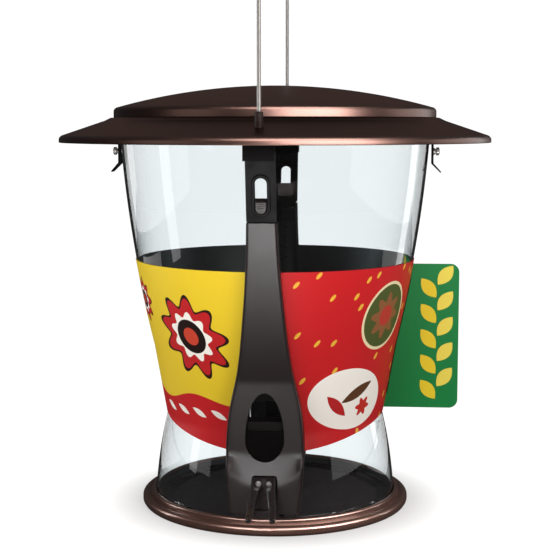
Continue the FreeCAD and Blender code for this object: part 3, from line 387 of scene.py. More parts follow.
def tile(half: float, low: float, high: float, low_curve: float, high_curve: float,
         count: int = 6) -> np.ndarray:
    """Upright outline with round corners.

    Args:
        half: Half of its width.
        low: Level of its lower edge.
        high: Level of its upper edge.
        low_curve: Radius of the lower corners.
        high_curve: Radius of the upper corners.
        count: Points in each corner.

    Returns:
        Points of the outline, anticlockwise from its lower left corner.
    """
    return rounded([(-half, low, low_curve), (half, low, low_curve), (half, high, high_curve),
                    (-half, high, high_curve)], count=count)


def circle(radius: float, count: int) -> np.ndarray:
    """Points of a circle round the origin."""
    angle = np.linspace(0.0, 2 * math.pi, count, endpoint=False)
    return radius * np.stack([np.cos(angle), np.sin(angle)], axis=1)


def eased(place: np.ndarray, knots: Sequence[float], values: Sequence[float]) -> np.ndarray:
    """Smooth curve through knots: a cubic between each two, with the mean of the neighbouring slopes at each.

    Args:
        place: Where the curve is read.
        knots: Rising places of the knots.
        values: Values at the knots.

    Returns:
        Values of the curve, held level past its ends.
    """
    knots, values = np.asarray(knots, float), np.asarray(values, float)
    slope = np.gradient(values, knots)
    where = np.clip(place, knots[0], knots[-1])
    index = np.clip(np.searchsorted(knots, where, side="right") - 1, 0, len(knots) - 2)
    width = knots[index + 1] - knots[index]
    share = (where - knots[index]) / width
    low, high = values[index], values[index + 1]
    return (low * (1 + 2 * share) * (1 - share) ** 2 + high * share ** 2 * (3 - 2 * share)
            + width * (slope[index] * share * (1 - share) ** 2
                       - slope[index + 1] * share ** 2 * (1 - share)))


# Meshes

@dataclass
class Patch:
    """Part of a piece's surface: points in millimetres, faces, flat coordinates and finish indices."""

    points: np.ndarray
    faces: list[list[int]]
    flat: Optional[np.ndarray] = None
    finish: Optional[np.ndarray] = None


def grid_patch(grid: np.ndarray, wrap_rows: bool = False, wrap_columns: bool = False,
               cap_rows: bool = False, flat: Optional[np.ndarray] = None,
               finish: Optional[np.ndarray] = None) -> Patch:
    """Four-sided faces between the neighbours of a grid.

    Args:
        grid: Points as rows by columns by 3.
        wrap_rows: Whether the last row joins the first.
        wrap_columns: Whether the last column joins the first.
        cap_rows: Whether the first and last rows are closed by one face each.
        flat: Flat coordinates of each point, as rows by columns by 2.
        finish: Finish index of each row of faces.

    Returns:
        The patch.
    """
    rows, columns = grid.shape[:2]
    row = np.arange(rows if wrap_rows else rows - 1)[:, None]
    column = np.arange(columns if wrap_columns else columns - 1)[None, :]
    row_after, column_after = (row + 1) % rows, (column + 1) % columns
    faces = np.stack([row * columns + column, row * columns + column_after,
                      row_after * columns + column_after, row_after * columns + column], axis=2)
    marks = None if finish is None else np.repeat(np.asarray(finish), faces.shape[1])
    listed = faces.reshape(-1, 4).tolist()
    if cap_rows:
        first = np.arange(columns)
        listed += [first[::-1].tolist(), (first + (rows - 1) * columns).tolist()]
        marks = None if marks is None else np.concatenate([marks, [finish[0], finish[-1]]])
    return Patch(grid.reshape(-1, 3), listed, None if flat is None else flat.reshape(-1, 2), marks)


def lathe(profile: np.ndarray, centre: Sequence[float], axis: Sequence[float], count: int = 24,
          closed: bool = False) -> Patch:
    """Patch of a profile (radius, distance) turned about an axis; a closed profile leaves a bore."""
    return grid_patch(turned(profile, centre, axis, count), closed, True)


def stacked(rings: Sequence[tuple[np.ndarray, float]], lift: np.ndarray) -> np.ndarray:
    """Grid of flat loops, each at its level along the axis, turned into space by three directions."""
    grid = np.stack([np.column_stack([ring, np.full(len(ring), level)]) for ring, level in rings])
    return grid @ np.asarray(lift, float)


def prism_patch(outline: np.ndarray, low: float, high: float, bevel: float, lift: np.ndarray) -> Patch:
    """Straight solid of a closed outline with bevelled rims.

    Four rings: the outline drawn in by the bevel at each end face, and the full outline a bevel inside each.

    Args:
        outline: Points (x, y) of the outline, anticlockwise.
        low: Where the solid starts along its own axis.
        high: Where it ends.
        bevel: Width of the bevel.
        lift: Three rows: the directions in space of the outline's x, its y and the axis.

    Returns:
        The patch, with both ends capped.
    """
    after, before = np.roll(outline, -1, axis=0), np.roll(outline, 1, axis=0)
    way = after - before
    inward = np.stack([-way[:, 1], way[:, 0]], axis=1)
    inward /= np.maximum(np.linalg.norm(inward, axis=1, keepdims=True), 1e-9)
    drawn = outline + inward * bevel
    rings = [(drawn, low), (outline, low + bevel), (outline, high - bevel), (drawn, high)]
    return grid_patch(stacked(rings, lift), wrap_columns=True, cap_rows=True)


def frame_patch(outer: np.ndarray, inner: np.ndarray, low: float, high: float, bevel: float,
                lift: np.ndarray) -> Patch:
    """Flat plate with one hole: a rounded section between two loops with as many points each.

    Args:
        outer: Points (x, y) of the rim, anticlockwise.
        inner: Points of the hole, matched one to one with the rim's.
        low: Where the plate starts along its axis.
        high: Where it ends.
        bevel: Width of the bevel on each edge.
        lift: Three rows: the directions in space of x, y and the axis.

    Returns:
        The patch.
    """
    way = inner - outer
    way = way / np.linalg.norm(way, axis=1, keepdims=True) * bevel
    rings = [(outer, low + bevel), (outer, high - bevel), (outer + way, high), (inner - way, high),
             (inner, high - bevel), (inner, low + bevel), (inner - way, low), (outer + way, low)]
    return grid_patch(stacked(rings, lift), wrap_rows=True, wrap_columns=True)


def make_mesh(name: str, patches: Sequence[Patch], recalculate: bool = True) -> Mesh:
    """Join patches into one mesh in metres, with seams and poles merged.

    Args:
        name: Name of the mesh.
        patches: Patches in millimetres.
        recalculate: Whether faces are turned outwards, as on closed shells.

    Returns:
        The mesh, smooth except at its sharp edges.
    """
    starts = np.cumsum([0] + [len(patch.points) for patch in patches])
    points = np.concatenate([patch.points for patch in patches]) * MM
    faces = [[int(start) + index for index in face]
             for patch, start in zip(patches, starts) for face in patch.faces]
    mesh = bpy.data.meshes.new(name)
    mesh.from_pydata(points.tolist(), [], faces)
    if any(patch.flat is not None for patch in patches):
        flat = np.concatenate([np.zeros((len(patch.points), 2)) if patch.flat is None else patch.flat
                               for patch in patches])
        corner = np.empty(len(mesh.loops), dtype=np.int32)
        mesh.loops.foreach_get("vertex_index", corner)
        mesh.uv_layers.new(name="print").data.foreach_set("uv", flat[corner].ravel())
    marks = np.concatenate([np.zeros(len(patch.faces), int) if patch.finish is None else patch.finish
                            for patch in patches])
    mesh.polygons.foreach_set("material_index", marks.astype(np.int32))
    work = bmesh.new()
    work.from_mesh(mesh)
    bmesh.ops.remove_doubles(work, verts=work.verts, dist=1e-3 * MM)
    bmesh.ops.dissolve_degenerate(work, dist=1e-4 * MM, edges=work.edges)
    if recalculate:
        bmesh.ops.recalc_face_normals(work, faces=work.faces)
    work.to_mesh(mesh)
    work.free()
    soften(mesh)
    return mesh


def soften(mesh: Mesh, crease: float = 32.0) -> None:
    """Shade a mesh smooth except where faces meet at more than the crease angle in degrees.

    Args:
        mesh: The mesh.
        crease: The angle.
    """
    mesh.polygons.foreach_set("use_smooth", np.ones(len(mesh.polygons), dtype=bool))
    mesh.set_sharp_from_angle(angle=math.radians(crease))
    mesh.update()


def make_object(name: str, mesh: Mesh, finishes: Sequence[Material]) -> Object:
    """Put a mesh with its finishes into the scene at the origin.

    Args:
        name: Name of the piece.
        mesh: Its mesh.
        finishes: Its materials, in the order of the mesh's marks.

    Returns:
        The object.
    """
    thing = bpy.data.objects.new(name, mesh)
    bpy.context.scene.collection.objects.link(thing)
    for finish in finishes:
        mesh.materials.append(finish)
    return thing


def settle(thing: Object) -> None:
    """Turn an object's modifiers into its mesh.

    Args:
        thing: The object.
    """
    depsgraph = bpy.context.evaluated_depsgraph_get()
    mesh = bpy.data.meshes.new_from_object(thing.evaluated_get(depsgraph))
    thing.modifiers.clear()
    thing.data = mesh
    soften(mesh)


def thicken(thing: Object, thickness: float, even: bool = False) -> None:
    """Give a skin its thickness inwards; the inside takes the second finish.

    Args:
        thing: Object of one open skin.
        thickness: Thickness in millimetres.
        even: Whether the thickness holds at corners too.
    """
    sheet = thing.modifiers.new("sheet", "SOLIDIFY")
    sheet.thickness = thickness * MM
    sheet.offset = -1.0
    sheet.material_offset = 1
    sheet.use_even_offset = even
    settle(thing)


def carve(thing: Object, cutters: Sequence[Patch], overlapping: bool = False) -> None:
    """Cut closed patches out of an object and delete the cutters.

    Args:
        thing: Object that is cut.
        cutters: Closed patches, in millimetres.
        overlapping: Whether the object is of shells that lie in each other, which the cut then joins.
    """
    mesh = make_mesh(f"{thing.name}_cutter", cutters)
    cutter = make_object(f"{thing.name}_cutter", mesh, [])
    cut = thing.modifiers.new("openings", "BOOLEAN")
    cut.operation = "DIFFERENCE"
    cut.solver = "EXACT"
    cut.use_self = overlapping
    cut.object = cutter
    settle(thing)
    bpy.data.objects.remove(cutter)


def bevel_edges(thing: Object, width: float) -> None:
    """Round an object's edges of over 40 degrees by a width in millimetres.

    Args:
        thing: The object.
        width: The width.
    """
    bevel = thing.modifiers.new("eased_edges", "BEVEL")
    bevel.width = width * MM
    bevel.segments = 2
    bevel.limit_method = "ANGLE"
    bevel.angle_limit = math.radians(40.0)
    bevel.harden_normals = True


def seat(thing: Object, body: str, slot: str, *nodes: str) -> Object:
    """Let a piece ride on a body and hide the CAD nodes that it stands for.

    Args:
        thing: The piece.
        body: Name of the CAD body.
        slot: Not used.
        nodes: CAD nodes that the piece replaces.

    Returns:
        The piece.
    """
    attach(thing, body)
    if nodes:
        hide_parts(*nodes)
    LOG.info("%s rides on %s", thing.name, body)
    return thing


def dress(name: str, patches: Sequence[Patch], finishes: Sequence[Material], body: str, slot: str,
          *nodes: str) -> Object:
    """Make a piece of patches with its finishes, and seat it."""
    return seat(make_object(name, make_mesh(name, patches), finishes), body, slot, *nodes)


# Finishes

BRONZE_ENAMEL = Coat(
    # Baked bronze enamel on pressed steel: dark brown in the open, warm where a lamp lies in it
    name="baked_bronze_enamel", tone="#6E4E44", drift_tone="#66473E", roughness=(0.30, 0.36),
    drift=38.0, grain=1.6, relief=0.012, metallic=1.0, coat=0.65, coat_roughness=0.32)
BRONZE_RESIN = Coat(
    # Moulded resin sprayed bronze: the roof's colour with a wetter shine
    name="sprayed_bronze_resin", tone="#74564C", drift_tone="#694B42", roughness=(0.26, 0.34),
    drift=24.0, grain=1.2, relief=0.012, metallic=0.9, coat=1.0, coat_roughness=0.2)
BLACK_PLASTIC_AND_PAINTED_SHADE = Coat(
    # Moulded black plastic with a fine spark-eroded texture; inside the columns the same black is painted
    # shade
    name="moulded_black_plastic", tone="#110B0C", drift_tone="#150F10", roughness=(0.36, 0.48),
    drift=14.0, grain=0.9, relief=0.03)
COLUMN_ENAMEL = Coat(
    # Grey-brown powder coat: satin, with the faint orange peel of a stoved powder
    name="grey_brown_powder_coat", tone="#261C1D", drift_tone="#211819", roughness=(0.32, 0.40),
    drift=30.0, grain=1.1, relief=0.02, specular=0.55)
DARK_STEEL = Coat(
    # Blackened spring steel: almost black, with a thin oily shine
    name="blackened_spring_steel", tone="#121011", drift_tone="#0D0C0C", roughness=(0.36, 0.48),
    drift=9.0, grain=0.7, relief=0.012, specular=0.08)
BRIGHT_STEEL = Coat(
    # Zinc-plated wire and pins: pale grey metal, drawn lines softened by the plating
    name="zinc_plated_steel", tone="#B9B8B6", drift_tone="#A3A19E", roughness=(0.24, 0.36),
    drift=6.0, grain=0.6, relief=0.01, metallic=0.55, stretch=(1.0, 1.0, 0.15))
BROWN_RUBBER = Coat(
    # Moulded rubber grommet: dull, dark brown
    name="moulded_brown_rubber", tone="#2B1B17", drift_tone="#241612", roughness=(0.5, 0.62),
    drift=5.0, grain=0.6, relief=0.02)
BLOCK_PLASTIC = Coat(
    # Moulded grey-black nylon of the sliding block, a little worn by thumbs
    name="moulded_grey_nylon", tone="#3A3535", drift_tone="#2F2B2B", roughness=(0.38, 0.5),
    drift=4.0, grain=0.5, relief=0.02)
PERCH_ENAMEL = Coat(
    # Dark dipped enamel on the perch, rubbed smooth on top by claws
    name="dipped_dark_enamel", tone="#2B2627", drift_tone="#211D1E", roughness=(0.24, 0.36),
    drift=8.0, grain=0.8, relief=0.015, coat=0.3, coat_roughness=0.15)


class Finishes:
    """The materials of the feeder, each built once."""

    def __init__(self) -> None:
        """Build every finish."""
        self.bronze = BRONZE_ENAMEL.material()
        self.resin = BRONZE_RESIN.material()
        self.black = BLACK_PLASTIC_AND_PAINTED_SHADE.material()
        self.column = COLUMN_ENAMEL.material()
        self.dark_steel = DARK_STEEL.material()
        self.bright_steel = BRIGHT_STEEL.material()
        self.rubber = BROWN_RUBBER.material()
        self.clear = ClearPlastic().material()
        self.block = BLOCK_PLASTIC.material()
        self.perch = PERCH_ENAMEL.material()
        self.left_card = left_print()
        self.right_card = right_print()
        self.tag = tag_print()


# Sub-assemblies

@dataclass
class Roof:
    """Two-tier roof on the bail: a brim with a rolled lip, a dome riveted on it, and two grommets."""

    sheet: float = 1.0
    radius: float = 148.2
    lip_bottom: float = 252.2
    lip_top: float = 254.6
    edge_radius: float = 145.2
    edge_height: float = 257.4
    edge_curve: float = 4.0
    lip_curve: float = 0.35
    step_curves: Pair = (3.0, 1.5)
    seat_curves: Pair = (2.0, 1.5)
    collar_curve: float = 0.5
    step_radius: float = 117.0
    step_height: float = 267.0
    seat_radius: float = 113.0
    seat_height: float = 269.0
    hole_radius: float = 96.0
    collar_radius: float = 104.0
    collar_depth: float = 10.0
    dome_radius: float = 111.0
    band_top: float = 273.4
    shoulder: Pair = (108.6, 276.0)
    shoulder_curve: float = 3.4
    crown: float = 291.0
    rivet_circle: float = 99.6
    rivet_count: int = 6
    rivet_head: float = 2.8
    rivet_rise: float = 1.2
    rivet_curve: float = 4.0
    grommet_out: float = 128.0
    grommet_radius: float = 2.6
    grommet_bore: float = 1.45
    grommet_curves: Pair = (0.6, 0.7)
    grommet_heights: Pair = (259.0, 272.0)

    def brim_profiles(self) -> tuple[np.ndarray, np.ndarray]:
        """Closed profiles of the brim's sheet, from its collar to the edge, and of its rolled lip.

        Returns:
            Points (radius, height) of the sheet and of the lip.
        """
        under = self.seat_height - self.sheet
        low = under - self.collar_depth
        inner_lip = self.radius - self.sheet
        edge = (self.edge_radius, self.edge_height)
        inner_edge = (self.edge_radius - self.sheet, self.edge_height - self.sheet)
        outer_step, inner_step = self.step_curves
        outer_seat, inner_seat = self.seat_curves
        brim = rounded([
            (self.hole_radius, under, 0), (self.collar_radius - self.sheet, under, self.collar_curve),
            (self.collar_radius - self.sheet, low, CRISP), (self.collar_radius, low, CRISP),
            (self.collar_radius, under, self.collar_curve), (self.seat_radius, under, inner_seat),
            (self.step_radius, self.step_height - self.sheet, inner_step), (*inner_edge, 0), (*edge, 0),
            (self.step_radius, self.step_height, outer_step),
            (self.seat_radius, self.seat_height, outer_seat), (self.hole_radius, self.seat_height, 0)])
        lip = np.concatenate([
            bend_points(inner_edge, (inner_lip, self.lip_top - self.sheet), self.edge_curve),
            rounded([(inner_lip, self.lip_top - self.sheet, 0), (inner_lip, self.lip_bottom, self.lip_curve),
                     (self.radius, self.lip_bottom, self.lip_curve), (self.radius, self.lip_top, 0)],
                    closed=False)[1:],
            bend_points((self.radius, self.lip_top), edge, -self.edge_curve)[1:],
        ])
        return brim, lip

    def dome_profiles(self) -> tuple[np.ndarray, np.ndarray]:
        """Profiles of the dome's crown, open at the axis, and of its rolled band and flange, closed.

        Returns:
            Points (radius, height) of the crown and of the band.
        """
        drop = self.crown - self.shoulder[1]
        curve = (self.shoulder[0] ** 2 + drop ** 2) / (2 * drop)
        shrink = (curve - self.sheet) / curve
        centre = self.crown - curve
        inner_shoulder = (self.shoulder[0] * shrink, centre + (self.shoulder[1] - centre) * shrink)
        inner_band = (self.dome_radius - self.sheet, self.band_top - self.sheet / 3)
        flange = self.seat_height + self.sheet
        crown = np.concatenate([
            bend_points((0.0, self.crown), self.shoulder, curve, 28),
            bend_points(inner_shoulder, (0.0, self.crown - self.sheet), -(curve - self.sheet), 20),
        ])
        band = np.concatenate([
            bend_points(self.shoulder, (self.dome_radius, self.band_top), self.shoulder_curve, 14),
            [(self.dome_radius, self.seat_height + CRISP), (self.dome_radius - CRISP, self.seat_height),
             (self.hole_radius, self.seat_height), (self.hole_radius, flange), (inner_band[0], flange)],
            bend_points(inner_band, inner_shoulder, -self.shoulder_curve, 10),
        ])
        return crown, band

    def rivet_profile(self) -> np.ndarray:
        """Profile of a rivet through both sheets, with a low dome at each end.

        Returns:
            Points (radius, distance along the rivet).
        """
        half = self.sheet
        tip = half + self.rivet_rise
        head = bend_points((0.0, tip), (self.rivet_head, half), self.rivet_curve, 8)
        return np.concatenate([head, head[::-1] * (1, -1)])

    def build(self, finishes: Finishes) -> None:
        """Make the roof's pieces and dress them.

        Args:
            finishes: The shared materials.
        """
        brim, lip = self.brim_profiles()
        crown, band = self.dome_profiles()
        for name, profile, closed, node in (
                ("roof_brim_skin", brim, True, "roof_brim"), ("roof_brim_lip", lip, True, "roof_brim"),
                ("roof_dome_skin", crown, False, "roof_dome"), ("roof_dome_band", band, True, "roof_dome")):
            skin = grid_patch(revolved(profile, ROUND_STEPS), closed, True)
            thing = dress(name, [skin], [finishes.bronze], "roof", "bronze_enamel", node)
            thing.visible_glossy = name != "roof_dome_band"
        turns = 2 * math.pi * (np.arange(self.rivet_count) + 0.5) / self.rivet_count
        places = self.rivet_circle * np.column_stack([np.cos(turns), np.sin(turns)])
        rivets = [lathe(self.rivet_profile(), (*place, self.seat_height), UP, 20) for place in places]
        dress("roof_rivet_heads", rivets, [finishes.bright_steel], "roof", "bright_steel", "roof_rivets")
        low, high = self.grommet_heights
        foot, head = self.grommet_curves
        sleeve = rounded([(self.grommet_bore, low, CRISP), (self.grommet_radius, low, foot),
                          (self.grommet_radius, high, head), (self.grommet_bore, high, CRISP)])
        sleeves = [lathe(sleeve, (0, out, 0), UP, 28, True) for out in (-self.grommet_out, self.grommet_out)]
        dress("bail_sleeves", sleeves, [finishes.rubber], "roof", "brown_rubber", "bail_grommets")


@dataclass
class Tray:
    """Round moulded tray: a bronze rim and ridge round a black floor."""

    radius: float = 93.8
    rim_height: float = 6.6
    rim_width: float = 3.2
    edge_curve: float = 2.5
    floor: float = 3.0
    ridge_radius: float = 86.4
    ridge_width: float = 1.6
    ridge_height: float = 9.8
    groove: float = 5.2
    groove_width: float = 1.1
    rim_fall: float = 0.7
    rim_curve: float = 0.6
    groove_curve: float = 0.15
    ridge_curves: Pair = (1.5, 0.4)
    ridge_face: float = 2.0
    foot_chamfer: Pair = (1.0, 1.6)
    foot_curves: Pair = (0.8, 1.2)
    floor_chamfer: float = 0.6

    def build(self, finishes: Finishes) -> None:
        """Make the tray as one turned shell whose floor rows take the black finish.

        Args:
            finishes: The shared materials.
        """
        rim_inner = self.radius - self.rim_width
        ridge_inner = self.ridge_radius - self.ridge_width
        ridge_outer = self.ridge_radius + self.groove_width
        inset, rise = self.foot_chamfer
        under, side = self.foot_curves
        outside, inside = self.ridge_curves
        bronze = rounded([
            (0.0, 0.0, 0), (self.radius - inset, 0.0, under), (self.radius, rise, side),
            (self.radius, self.rim_height - self.rim_fall, self.edge_curve),
            (rim_inner, self.rim_height, self.rim_curve), (ridge_outer, self.groove, self.groove_curve),
            (ridge_outer, self.ridge_height, outside), (ridge_inner, self.ridge_height, inside),
            (ridge_inner, self.ridge_height - self.ridge_face, 0)], closed=False, count=8)
        ease = self.floor_chamfer
        black = [(ridge_inner, self.floor + ease), (ridge_inner - ease, self.floor), (0.0, self.floor)]
        profile = np.concatenate([bronze, black])
        marks = np.where(np.arange(len(profile) - 1) >= len(bronze) - 1, 1, 0)
        dish = grid_patch(revolved(profile, ROUND_STEPS), False, True, finish=marks)
        dress("tray_dish", [dish], [finishes.resin, finishes.black], "frame", "bronze_resin", "base_tray")


@dataclass
class HopperWall:
    """Outer line of the hopper's hourglass wall, which the label and the columns follow."""

    foot: Pair = (84.5, 3.0)
    waist: Pair = (75.7, 64.0)
    knee: Pair = (84.1, 111.5)
    mouth: Pair = (107.5, 267.5)
    foot_curve: float = 301.0
    bowl_curve: float = 891.0

    def line(self) -> np.ndarray:
        """Points (radius, height) from the foot to the mouth: an arc, a straight flare and an arc."""
        return np.concatenate([
            bend_points(self.foot, self.waist, -self.foot_curve, 24),
            bend_points(self.knee, self.mouth, -self.bowl_curve, 30),
        ])

    def radius_at(self, height: np.ndarray) -> np.ndarray:
        """Radius of the wall at heights."""
        line = self.line()
        return np.interp(height, line[:, 1], line[:, 0])


@dataclass
class Hopper:
    """Clear hopper with a turned-in foot, open at the top and at the two ports."""

    wall: HopperWall = field(default_factory=HopperWall)
    thickness: float = 1.4
    flange: float = 12.0
    port_half: float = 13.2
    port_heights: Pair = (71.8, 90.2)
    port_cut: Pair = (50.0, 100.0)
    lip_drop: float = 0.9
    lip_curve: float = 1.01

    def build(self, finishes: Finishes) -> None:
        """Make the wall as one turned shell and cut the ports.

        Args:
            finishes: The shared materials.
        """
        outer = self.wall.line()
        inner = outer[::-1] - (self.thickness, 0.0)
        low, top = self.wall.foot[1], self.wall.mouth[1]
        lip_start = top - self.lip_drop
        lip = bend_points((outer[-1, 0], lip_start), (inner[0, 0], lip_start), -self.lip_curve, 9)
        floor = low + self.thickness
        inner = inner[(inner[:, 1] < top - 1.0) & (inner[:, 1] > floor + 2.0)]
        hem = outer[0, 0] - self.flange
        foot = rounded([(*inner[-1], 0), (inner[-1, 0] - 0.2, floor, 1.5), (hem, floor, 0.5), (hem, low, 0.5),
                        (outer[0, 0], low, 0)], closed=False)[1:-1]
        outer = outer[outer[:, 1] < top - 1.0]
        profile = np.concatenate([outer, lip, inner, foot])
        mesh = make_mesh("hopper_wall", [grid_patch(revolved(profile, count=224), True, True)])
        thing = make_object("hopper_wall", mesh, [finishes.clear])
        port = tile(self.port_half, *self.port_heights, 0.0, 0.0)
        carve(thing, [prism_patch(port, *self.port_cut, 0.0, OUTWARDS * (side.sign, side.sign, 1.0))
                      for side in Side])
        seat(thing, "frame", "clear_plastic", "hopper")


@dataclass
class Bail:
    """Hanging wire: two straight legs bent in to an apex."""

    wire: float = 1.25
    out: float = 128.0
    foot: float = 243.0
    shoulder: float = 378.0
    apex: float = 428.0
    shoulder_bend: float = 20.0
    apex_bend: float = 14.0
    nut_radius: float = 3.2
    nut_height: float = 2.4
    nut_gap: float = 0.05
    nut_bevel: float = 0.35
    nut_levels: Pair = (246.6, 251.0)

    def build(self, finishes: Finishes) -> None:
        """Sweep the wire along its bent path and thread four nuts on its feet.

        Args:
            finishes: The shared materials.
        """
        flat = rounded([(-self.out, self.foot, 0), (-self.out, self.shoulder, self.shoulder_bend),
                        (0.0, self.apex, self.apex_bend), (self.out, self.shoulder, self.shoulder_bend),
                        (self.out, self.foot, 0)], closed=False, count=18)
        path = np.column_stack([np.zeros(len(flat)), flat])
        wire = grid_patch(swept(path, circle(self.wire, 20)), False, True, cap_rows=True)
        dress("bail_wire", [wire], [finishes.bright_steel], "frame", "bright_steel", "bail")
        hexagon, bore = circle(self.nut_radius, 6), circle(self.wire + self.nut_gap, 6)
        nuts = []
        for out in (-self.out, self.out):
            for level in self.nut_levels:
                nut = frame_patch(hexagon, bore, level, level + self.nut_height, self.nut_bevel, np.eye(3))
                nut.points[:, 1] += out
                nuts.append(nut)
        dress("bail_hex_nuts", nuts, [finishes.dark_steel], "frame", "dark_steel", "bail_nuts")


@dataclass
class Station:
    """Sizes that the pieces of one feeding station share, and its turn to the front or the rear."""

    side: Side
    wall: HopperWall
    sheet: float = 1.5
    bottom: float = 15.0
    top: float = 204.0
    foot_out: float = 93.0
    face_out: float = 89.5
    apron_top: float = 53.0
    apron_low: float = 32.0
    apron_rise: float = 13.0
    lean_start: float = 100.0
    lean: float = 0.22

    def place(self, points: np.ndarray) -> np.ndarray:
        """Turn front points to this station's side."""
        return points * (self.side.sign, self.side.sign, 1.0)

    def put(self, patch: Patch) -> Patch:
        """Turn a front patch to this station's side."""
        patch.points = self.place(patch.points)
        return patch

    def name(self, piece: str) -> str:
        """Name of a piece with its side."""
        return f"{self.side.value}_{piece}"

    def arm_out(self, height: np.ndarray) -> np.ndarray:
        """Out distance of the leaning face at heights above the lean's start."""
        return self.face_out + self.lean * (height - self.lean_start)

    def arm_axes(self) -> np.ndarray:
        """Directions across the arm, up its leaning face and straight out of that face."""
        norm = math.hypot(1.0, self.lean)
        return np.array([(1.0, 0.0, 0.0), (0.0, -self.lean / norm, 1.0 / norm),
                         (0.0, -1.0 / norm, -self.lean / norm)])


@dataclass
class Column:
    """Powder-coated channel that widens downwards, with a feeding window, an apron and a perch slot."""

    station: Station
    edge: float = 1.8
    gap: float = 0.8
    knots: tuple[float, ...] = (15.0, 43.0, 61.0, 79.0, 109.0, 144.5, 180.0, 204.0)
    halves: tuple[float, ...] = (22.6, 25.0, 25.0, 23.4, 17.4, 13.25, 10.5, 9.6)
    window_half: float = 12.6
    window: Pair = (48.2, 93.4)
    window_middle: float = 63.0
    slot_half: float = 8.4
    slot: Pair = (17.0, 40.0)
    tab_radii: Pair = (85.15, 86.35)
    tab_heights: Pair = (9.8, 16.5)
    tab_half: float = 18.0
    panel_half: float = 11.0
    panel_top: float = 33.0
    softening: float = 2.4
    cut_margin: float = 0.6
    cut_end: float = 120.0
    slot_curves: Pair = (0.8, 2.2)
    bib_power: float = 2.5
    # Rows of points, closer where the face bends: from a height to a height, and how many
    rows: tuple[tuple[float, float, int], ...] = ((31.5, 57.0, 22), (60.0, 94.0, 14), (96.0, 106.0, 8))
    foot_rows: tuple[float, int] = (30.0, 7)
    arm_rows: tuple[float, int] = (110.0, 26)

    def half(self, height: np.ndarray) -> np.ndarray:
        """Half width of the column at heights."""
        return eased(height, self.knots, self.halves)

    def face(self, across: np.ndarray, height: np.ndarray) -> np.ndarray:
        """Out distance of the front face.

        The foot stands proud; the apron slopes back from a line that dips in the middle like a bib, and above
        the lean's start the arm leans out. Corners are softened by a mean over a few millimetres of height.

        Args:
            across: Distances from the column's middle.
            height: Heights.

        Returns:
            Distances out from the feeder's axis.
        """
        station = self.station
        total = np.zeros(np.broadcast(across, height).shape)
        offsets = np.linspace(-self.softening, self.softening, 7)
        for offset in offsets:
            level = height + offset
            start = station.apron_low + station.apron_rise * np.abs(across) ** self.bib_power
            share = np.clip((level - start) / (station.apron_top - start), 0.0, 1.0)
            foot = station.foot_out + (station.face_out - station.foot_out) * share
            total = total + foot + station.lean * np.maximum(level - station.lean_start, 0.0)
        return total / len(offsets)

    def shell(self) -> np.ndarray:
        """Grid of the channel's outside: a floor row, then a section at each height.

        A section runs along the left wall, round an edge, across the face, round the other edge and back.

        Returns:
            Points as rows by columns.
        """
        station = self.station
        arm_start, arm_count = self.arm_rows
        bands = [(station.bottom, *self.foot_rows), *self.rows, (arm_start, station.top, arm_count)]
        height = np.concatenate([np.linspace(*band) for band in bands])[:, None]
        half = self.half(height)
        back = np.sqrt((station.wall.radius_at(height) + self.gap) ** 2 - half ** 2)
        rim = self.face(np.ones_like(height), height) - self.edge
        depth = np.linspace(0.0, 1.0, 4)[None, :-1]
        turn = np.linspace(0.0, math.pi / 2, 6)[None, :]
        middle = np.linspace(-1.0, 1.0, 27)[None, 1:-1]
        wall_x, wall_out = -half + 0.0 * depth, back + (rim - back) * depth
        edge_x = -half + self.edge * (1 - np.cos(turn))
        edge_out = rim + self.edge * np.sin(turn)
        face_x = (half - self.edge) * middle
        face_out = self.face(face_x / half, height)
        x = np.concatenate([wall_x, edge_x, face_x, -edge_x[:, ::-1], -wall_x[:, ::-1]], axis=1)
        out = np.concatenate([wall_out, edge_out, face_out, edge_out[:, ::-1], wall_out[:, ::-1]], axis=1)
        grid = np.stack([x, -out, height + 0.0 * x], axis=2)
        floor = grid[:1].copy()
        room = station.wall.radius_at(np.array([station.bottom])) + self.gap
        floor[..., 1] = -np.sqrt(room ** 2 - floor[..., 0] ** 2)
        return station.place(np.concatenate([floor, grid]))

    def tab(self, half: float, low: float, high: float) -> Patch:
        """Curved plate behind the column's foot: the tab on the tray's ridge, or the slot's panel.

        Args:
            half: Half of its width.
            low: Height of its lower edge.
            high: Height of its upper edge.

        Returns:
            The plate.
        """
        inner, outer = self.tab_radii
        reach = math.asin(half / outer)
        angle = np.linspace(-reach, reach, 25)[:, None]
        radius, level = np.array([[inner, outer, outer, inner], [low, low, high, high]])
        grid = np.stack([radius * np.sin(angle), -radius * np.cos(angle), level + 0.0 * angle], axis=2)
        return self.station.put(grid_patch(grid, wrap_columns=True, cap_rows=True))

    def cutters(self) -> list[Patch]:
        """Straight blocks that open the window and the perch slot.

        Returns:
            The window's block and the slot's.
        """
        low, high = self.window
        egg = circle(1.0, 64)
        rise = np.where(egg[:, 1] > 0, high - self.window_middle, self.window_middle - low)
        size = np.column_stack([np.full(len(egg), self.window_half), rise])
        window = egg * size + (0.0, self.window_middle)
        slot = tile(self.slot_half, *self.slot, *self.slot_curves)
        near = self.station.face_out - self.station.sheet - self.cut_margin
        return [self.station.put(prism_patch(outline, near, self.cut_end, 0.0, OUTWARDS))
                for outline in (window, slot)]

    def build(self, finishes: Finishes) -> None:
        """Give the shell its sheet thickness, cut it, add its tab and ease its edges.

        Args:
            finishes: The shared materials.
        """
        name = self.station.name("column_channel")
        mesh = make_mesh(name, [grid_patch(self.shell())], recalculate=False)
        # The channel's inside takes the black finish, darker than its enamel: painted shade in the channel
        thing = make_object(name, mesh, [finishes.column, finishes.black])
        thicken(thing, self.station.sheet, even=True)
        carve(thing, self.cutters())
        plates = [self.tab(self.tab_half, *self.tab_heights),
                  self.tab(self.panel_half, self.tab_heights[1] - 1.0, self.panel_top)]
        join_mesh(thing, make_mesh(f"{name}_tab", plates))
        bevel_edges(thing, CRISP)
        seat(thing, "frame", "column_enamel", self.station.name("column"))


